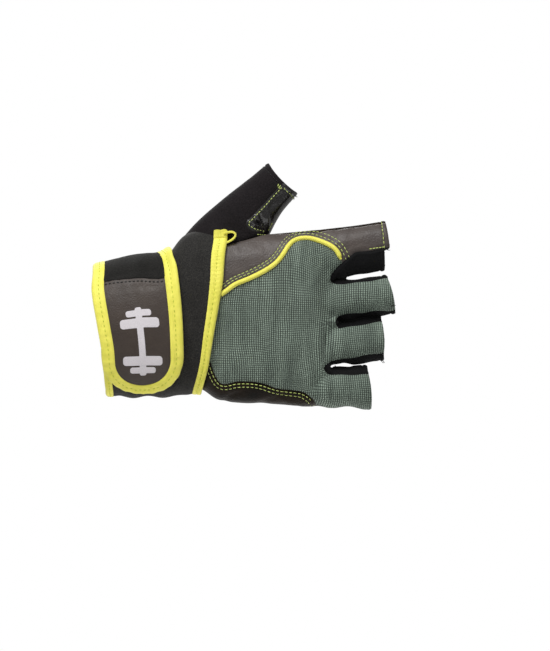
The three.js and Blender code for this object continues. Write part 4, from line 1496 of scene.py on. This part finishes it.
def dumbbell(length, across):
    """Signed distance into a dumbbell drawn along the strap."""
    inside = np.full(length.shape, -far_inside)
    for middle, half_long, half_wide, corner in zip(*dumbbell_parts.values()):
        dx = np.abs(np.abs(length - dumbbell_middle) - middle) - half_long + corner
        dz = np.abs(across) - half_wide + corner
        box = corner - np.hypot(np.maximum(dx, 0), np.maximum(dz, 0)) - np.minimum(np.maximum(dx, dz), 0)
        inside = np.maximum(inside, box)
    return inside


def make_strap():
    strap_sheet(
        "strap", strap_pile, ["strap"],
        first=0.5, last=strap_length, spacing=0.75, inset=tape_width - 0.4,
        lift=pile_lift, thickness=lambda length, across: pile_lift(length, across) - strap_base,
        keep=lambda length, across: strap_length - 0.3 - length,
    )
    strap_sheet(
        "strap_patch", patch_leather, ["strap_patch"],
        first=0.5, last=patch_length + 8, spacing=0.6, inset=tape_width - 0.3,
        lift=patch_lift, thickness=lambda length, across: patch_thickness + 0 * length,
        keep=patch_reach,
    )
    strap_sheet(
        "dumbbell_print", print_grey, [],
        first=8, last=50, spacing=0.3, inset=tape_width,
        lift=lambda length, across: patch_lift(length, across) + print_rise,
        thickness=lambda length, across: print_thickness + 0 * length,
        keep=dumbbell,
    )


def strap_outline(spacing=0.9):
    """Places along the strap's edge: from the sewn end round the tip and back."""
    straight = np.arange(strap_length, tip_radius, -spacing)
    turn = np.arange(math.pi / 2, 0, -spacing / tip_radius)
    down = np.concatenate([straight, tip_radius - tip_radius * np.cos(turn)])
    half = np.concatenate([strap_half(straight), tip_radius * np.sin(turn)])
    left = np.stack([strap_centre(down) - half, down], -1)
    right = np.stack([strap_centre(down) + half, down], -1)[::-1]
    return np.concatenate([left, [[strap_centre(np.array(0.0)), 0.0]], right])


def make_strap_tape():
    path = strap_outline()
    way = directions(path)
    count, length = np.arange(len(path)), path[:, 1]
    round_tip = 1 - smooth(8, 24, length)
    gathers = np.sin(count * 2 * math.pi / 6.1)
    scallop = round_tip * (0.1 * gathers + 0.07 * np.sin(count * 2 * math.pi / 9.3 + 1))
    finger_side = path[:, 0] > strap_centre(length)
    slim = np.where(finger_side, 0.9 * bell(length - 70, 7), 0)
    lifted = np.where(finger_side, bell(length - 77, 6), 0)
    inset, share = tape_profile.T
    reach = inset * tape_width + (slim - scallop)[:, None] * (1 - inset)
    x = path[:, :1] - reach * way[:, 1:]
    angle = strap_angle(path[:, 1:] + reach * way[:, :1])
    pucker = ((0.03 + 0.05 * round_tip) * gathers)[:, None] * bell(inset - 0.45, 0.4)
    crest = lifted[:, None] * (1.2 * inset - 0.4) * share
    rings = on_wrist(x, angle, strap_tape_base + (share + pucker) * tape_thickness + crest)
    make_tape("strap_tape", rings, ["strap_tape"])
    return rings[:, fold_line]


def make_loop_patch():
    end = float(strap_centre(np.array(0.0))) + 0.44 * strap_width
    places = np.linspace(end - loop_patch_side, end, 60)
    lengths = np.linspace(loop_patch_start, loop_patch_side, 56)
    x, length = np.meshgrid(places, lengths, indexing="ij")
    nap = 0.14 * np.random.default_rng(11).standard_normal(x.shape)
    height = loop_patch_base + loop_patch_thickness - 0.15 + nap
    skin = wrist_skin(on_wrist(x, strap_angle(length), height), x, length)
    body, values = thickened(skin, loop_patch_thickness - 0.2)
    piece("loop_patch", body, loop_pile, ["loop_patch"], uv=values)


# Piping, stitches and small ends
def back_surface(line, tree):
    """Where points in x and z meet the back of the glove, and the normals there."""
    places, normals = [], []
    for x, z in line:
        place, normal, _, _ = tree.ray_cast(Vector((x, -200, z)), Vector((0, 1, 0)))
        if place is not None:
            places.append(place)
            normals.append(normal if normal.y < 0 else -normal)
    return np.array(places), np.array(normals)


def round_rings(spine, side, up, radius, sides):
    """Round sections along a line."""
    turn = np.linspace(0, 2 * math.pi, sides, endpoint=False)[:, None]
    circle = np.cos(turn) * side[:, None] + np.sin(turn) * up[:, None]
    return spine[:, None] + circle * radius


def make_piping():
    line = resampled(piping_line, 0.6)
    line = line[line[:, 0] > cuff_edge(line[:, 1], "back") - 0.5]
    places, _ = back_surface(line, hand_tree)
    places = smoothed(places, 8) + [0, -0.35, 0]
    way = directions(places)
    side = unit(np.cross(way, [0, -1, 0]))
    count = np.arange(len(places))
    taper = np.clip((len(places) - count) / 4, 0.55, 1)
    radius = piping_radius * taper * (1 + 0.02 * np.sin(count * 2 * math.pi / 3.6))
    rings = round_rings(places, side, np.cross(side, way), radius[:, None, None], 20)
    make_tape("piping", rings, ["piping"], material=lime_cord)


def stitch_bodies(line, normals, pitch=stitch_pitch, length=stitch_length, radius=stitch_radius):
    """Short rounded threads along a line, each sunk at its ends."""
    far = resampled(line, pitch, normals)
    places, up = far[:, :3], unit(far[:, 3:])
    way = directions(places)
    side = np.cross(way, up)
    t = np.array([-1, -0.86, -0.45, 0, 0.45, 0.86, 1])
    wide = np.array([0.35, 0.8, 1, 1, 1, 0.8, 0.35]) * radius
    high = (1 - t**2) * radius * 0.9 - radius * 0.25
    turn = np.arange(6) * math.pi / 3
    rings = (
        places[:, None, None]
        + way[:, None, None] * (t * length / 2)[None, :, None, None]
        + up[:, None, None] * (high[:, None] + wide[:, None] * np.sin(turn))[None, :, :, None]
        + side[:, None, None] * (wide[:, None] * np.cos(turn))[None, :, :, None]
    )
    return joined([swept(ring) for ring in rings])


def outer_surface(points):
    """The nearest places on the glove's outer face, and the normals there."""
    found = [outer_tree.find_nearest(Vector(point))[:2] for point in points]
    return np.array([place for place, _ in found]), np.array([normal for _, normal in found])


def make_tape_stitches(seams):
    bodies = [stitch_bodies(line, out_from_wrist(line), pitch=2.4, length=1.3, radius=0.2) for line in seams]
    piece("tape_stitches", joined(bodies), deep_lime_thread)


def out_from_wrist(line):
    """Directions out from the wrist's middle line."""
    return unit((line - wrist_middle) * [0, 1, 1])


def past_cuff(line):
    """The part of a line that doesn't lie under the cuff."""
    return line[line[:, 0] > cuff_edge(line[:, 1], "back") + 0.5]


def back_stitches(line, last_x=math.inf, rounds=3, **stitch):
    """A row of stitches on the back of the glove, along a line in x and z."""
    places, normals = back_surface(line, outer_tree)
    kept = places[:, 0] < last_x
    return stitch_bodies(smoothed(places[kept], rounds), normals[kept], **stitch)


def make_leather_stitches():
    bodies = []
    line = past_cuff(piping_line)
    for distance in piping_stitch_rows:
        spread = distance + 0.5 * (distance - piping_stitch_rows[0]) * smooth(104, 112, line[:, :1])
        bodies.append(back_stitches(offset_line(line, spread)))
    for distance in palm_stitch_rows:
        line = offset_line(past_cuff(palm_line), -distance)
        bodies.append(back_stitches(line, last_x=palm_stitches_last_x))
    bodies.append(hem_stitches(stall(0), first=-95, last=60, count=60))
    bodies.append(hem_stitches(thumb, first=-106, last=-172, count=30))
    facing = offset_line(thumb_line, facing_stitch_row)
    x, z = facing.T
    facing = facing[(z < 74) & ((x < 85) | (z > 60))]
    bodies.append(back_stitches(facing, rounds=2, pitch=1.8, length=1.2))
    for line in edge_stitches:
        line = resampled(np.array(line), 0.4)
        bodies.append(back_stitches(line, rounds=0, pitch=1.6, length=1.3, radius=0.22))
    piece("leather_stitches", joined(bodies), lime_thread)


def make_hem_stitches():
    bodies = [hem_stitches(stall(i), first=20, last=160, count=50) for i in (1, 2, 3)]
    bodies.append(hem_stitches(stall(0), first=63, last=92, count=20))
    bodies.append(hem_stitches(thumb, first=-112, last=178, count=90))
    piece("hem_stitches", joined(bodies), black_thread)


def hem_stitches(limb, first, last, count):
    """Stitches round a limb's open end, between two angles."""
    around = on_limb(limb, 1.0, np.linspace(first, last, count), panel_lift, -hem_inset)
    return stitch_bodies(*outer_surface(around))


def make_patch_stitches():
    across = np.linspace(-15, 15, 40)
    length = patch_reach(0, across) - patch_stitch_inset
    places = on_wrist(strap_centre(length) + across, strap_angle(length), patch_lift(length, across) + 0.1)
    body = stitch_bodies(places, out_from_wrist(places), pitch=2.0, length=1.3, radius=0.26)
    piece("patch_stitches", body, black_thread)


def make_tape_end():
    """The small loop into which the tape's free end is folded, at the thumb."""
    line = smoothed(resampled(np.array(tape_loop), 0.4), 4)
    under, _ = back_surface(line, outer_tree)
    front = under[:, 1].min() - 1.1
    spine = np.stack([line[:, 0], np.full(len(line), front), line[:, 1]], -1)
    out = np.cross(directions(spine), [0, 1, 0])
    turn = np.linspace(0, 2 * math.pi, 16, endpoint=False)
    wide, deep = (np.sign(part) * np.abs(part) ** 0.7 for part in (np.cos(turn), np.sin(turn)))
    section = out[:, None] * (wide * loop_thickness / 2)[None, :, None]
    section = section + np.array([0, loop_width / 2, 0]) * deep[None, :, None]
    make_tape("tape_end", spine[:, None] + section)


def make_loose_threads():
    bodies = []
    t = np.linspace(-0.3, 1, 6)[:, None]
    for k, (x, z, length, direction) in enumerate(zip(*loose_threads.values())):
        place, _ = back_surface([(x, z)], outer_tree)
        if not len(place):
            continue
        turn = math.radians(direction)
        way = np.array([math.cos(turn), 0, math.sin(turn)])
        bend = np.array([-way[2], 0.3, way[0]]) * (0.35 if k % 2 else -0.35)
        line = place + length * (way * t + bend * t * t)
        side = np.cross(way, [0, 1, 0])[None]
        bodies.append(swept(round_rings(line, side, np.array([[0, 1, 0]]), thread_radius, 5)))
    piece("loose_threads", joined(bodies), black_thread)


make_cuff()
seams = make_cuff_tapes()
make_strap()
seams.append(make_strap_tape())
make_loop_patch()
make_piping()
make_tape_stitches(seams)
make_leather_stitches()
make_hem_stitches()
make_patch_stitches()
make_tape_end()
make_loose_threads()


# The floor, the light and the camera
def make_lamp(name, place, side, watts):
    lamp = bpy.data.lights.new(name, "AREA")
    lamp.size = side
    lamp.energy = watts
    made = linked(name, lamp)
    made.location = place
    made.rotation_euler = (Vector(lamp_aim) - Vector(place)).to_track_quat("-Z", "Y").to_euler()


def make_stage():
    mesh = bpy.data.meshes.new("floor")
    turn = np.linspace(0, 2 * math.pi, 64, endpoint=False)
    ring = [(floor_radius * math.cos(t), floor_radius * math.sin(t), floor_height) for t in turn]
    mesh.from_pydata(ring, [], [list(range(64))])
    pale = bpy.data.materials.new("floor")
    pale.use_nodes = True
    shader = pale.node_tree.nodes["Principled BSDF"]
    shader.inputs["Base Color"].default_value = (0.93, 0.93, 0.92, 1)
    shader.inputs["Roughness"].default_value = 0.9
    mesh.materials.append(pale)
    floor = linked("floor", mesh)


def make_light():
    """A soft studio, which the camera sees as plain white."""
    world = bpy.data.worlds.new("studio")
    bpy.context.scene.world = world
    world.use_nodes = True
    tree = world.node_tree
    soft = tree.nodes["Background"]
    soft.inputs["Color"].default_value = (1, 0.985, 0.96, 1)
    soft.inputs["Strength"].default_value = 0.3
    white = tree.nodes.new("ShaderNodeBackground")
    white.inputs["Color"].default_value = (1, 1, 1, 1)
    seen = tree.nodes.new("ShaderNodeLightPath")
    mixed = tree.nodes.new("ShaderNodeMixShader")
    sources = seen.outputs["Is Camera Ray"], soft.outputs[0], white.outputs[0]
    for source, socket in zip(sources, mixed.inputs):
        tree.links.new(source, socket)
    tree.links.new(mixed.outputs[0], tree.nodes["World Output"].inputs["Surface"])
    for name, lamp in lamps.items():
        make_lamp(name, **lamp)
    bpy.context.scene.view_settings.view_transform = "Standard"


def make_camera():
    camera = bpy.data.cameras.new("camera")
    camera.sensor_fit = "VERTICAL"
    camera.sensor_height = sensor
    camera.sensor_width = sensor
    camera.lens = sensor * camera_away / view_height
    camera.clip_end = 20
    made = linked("camera", camera)
    made.location = (camera_aim[0], -camera_away, camera_aim[1])
    made.rotation_euler = (math.pi / 2, 0, 0)
    bpy.context.scene.camera = made


make_stage()
make_light()
make_camera()
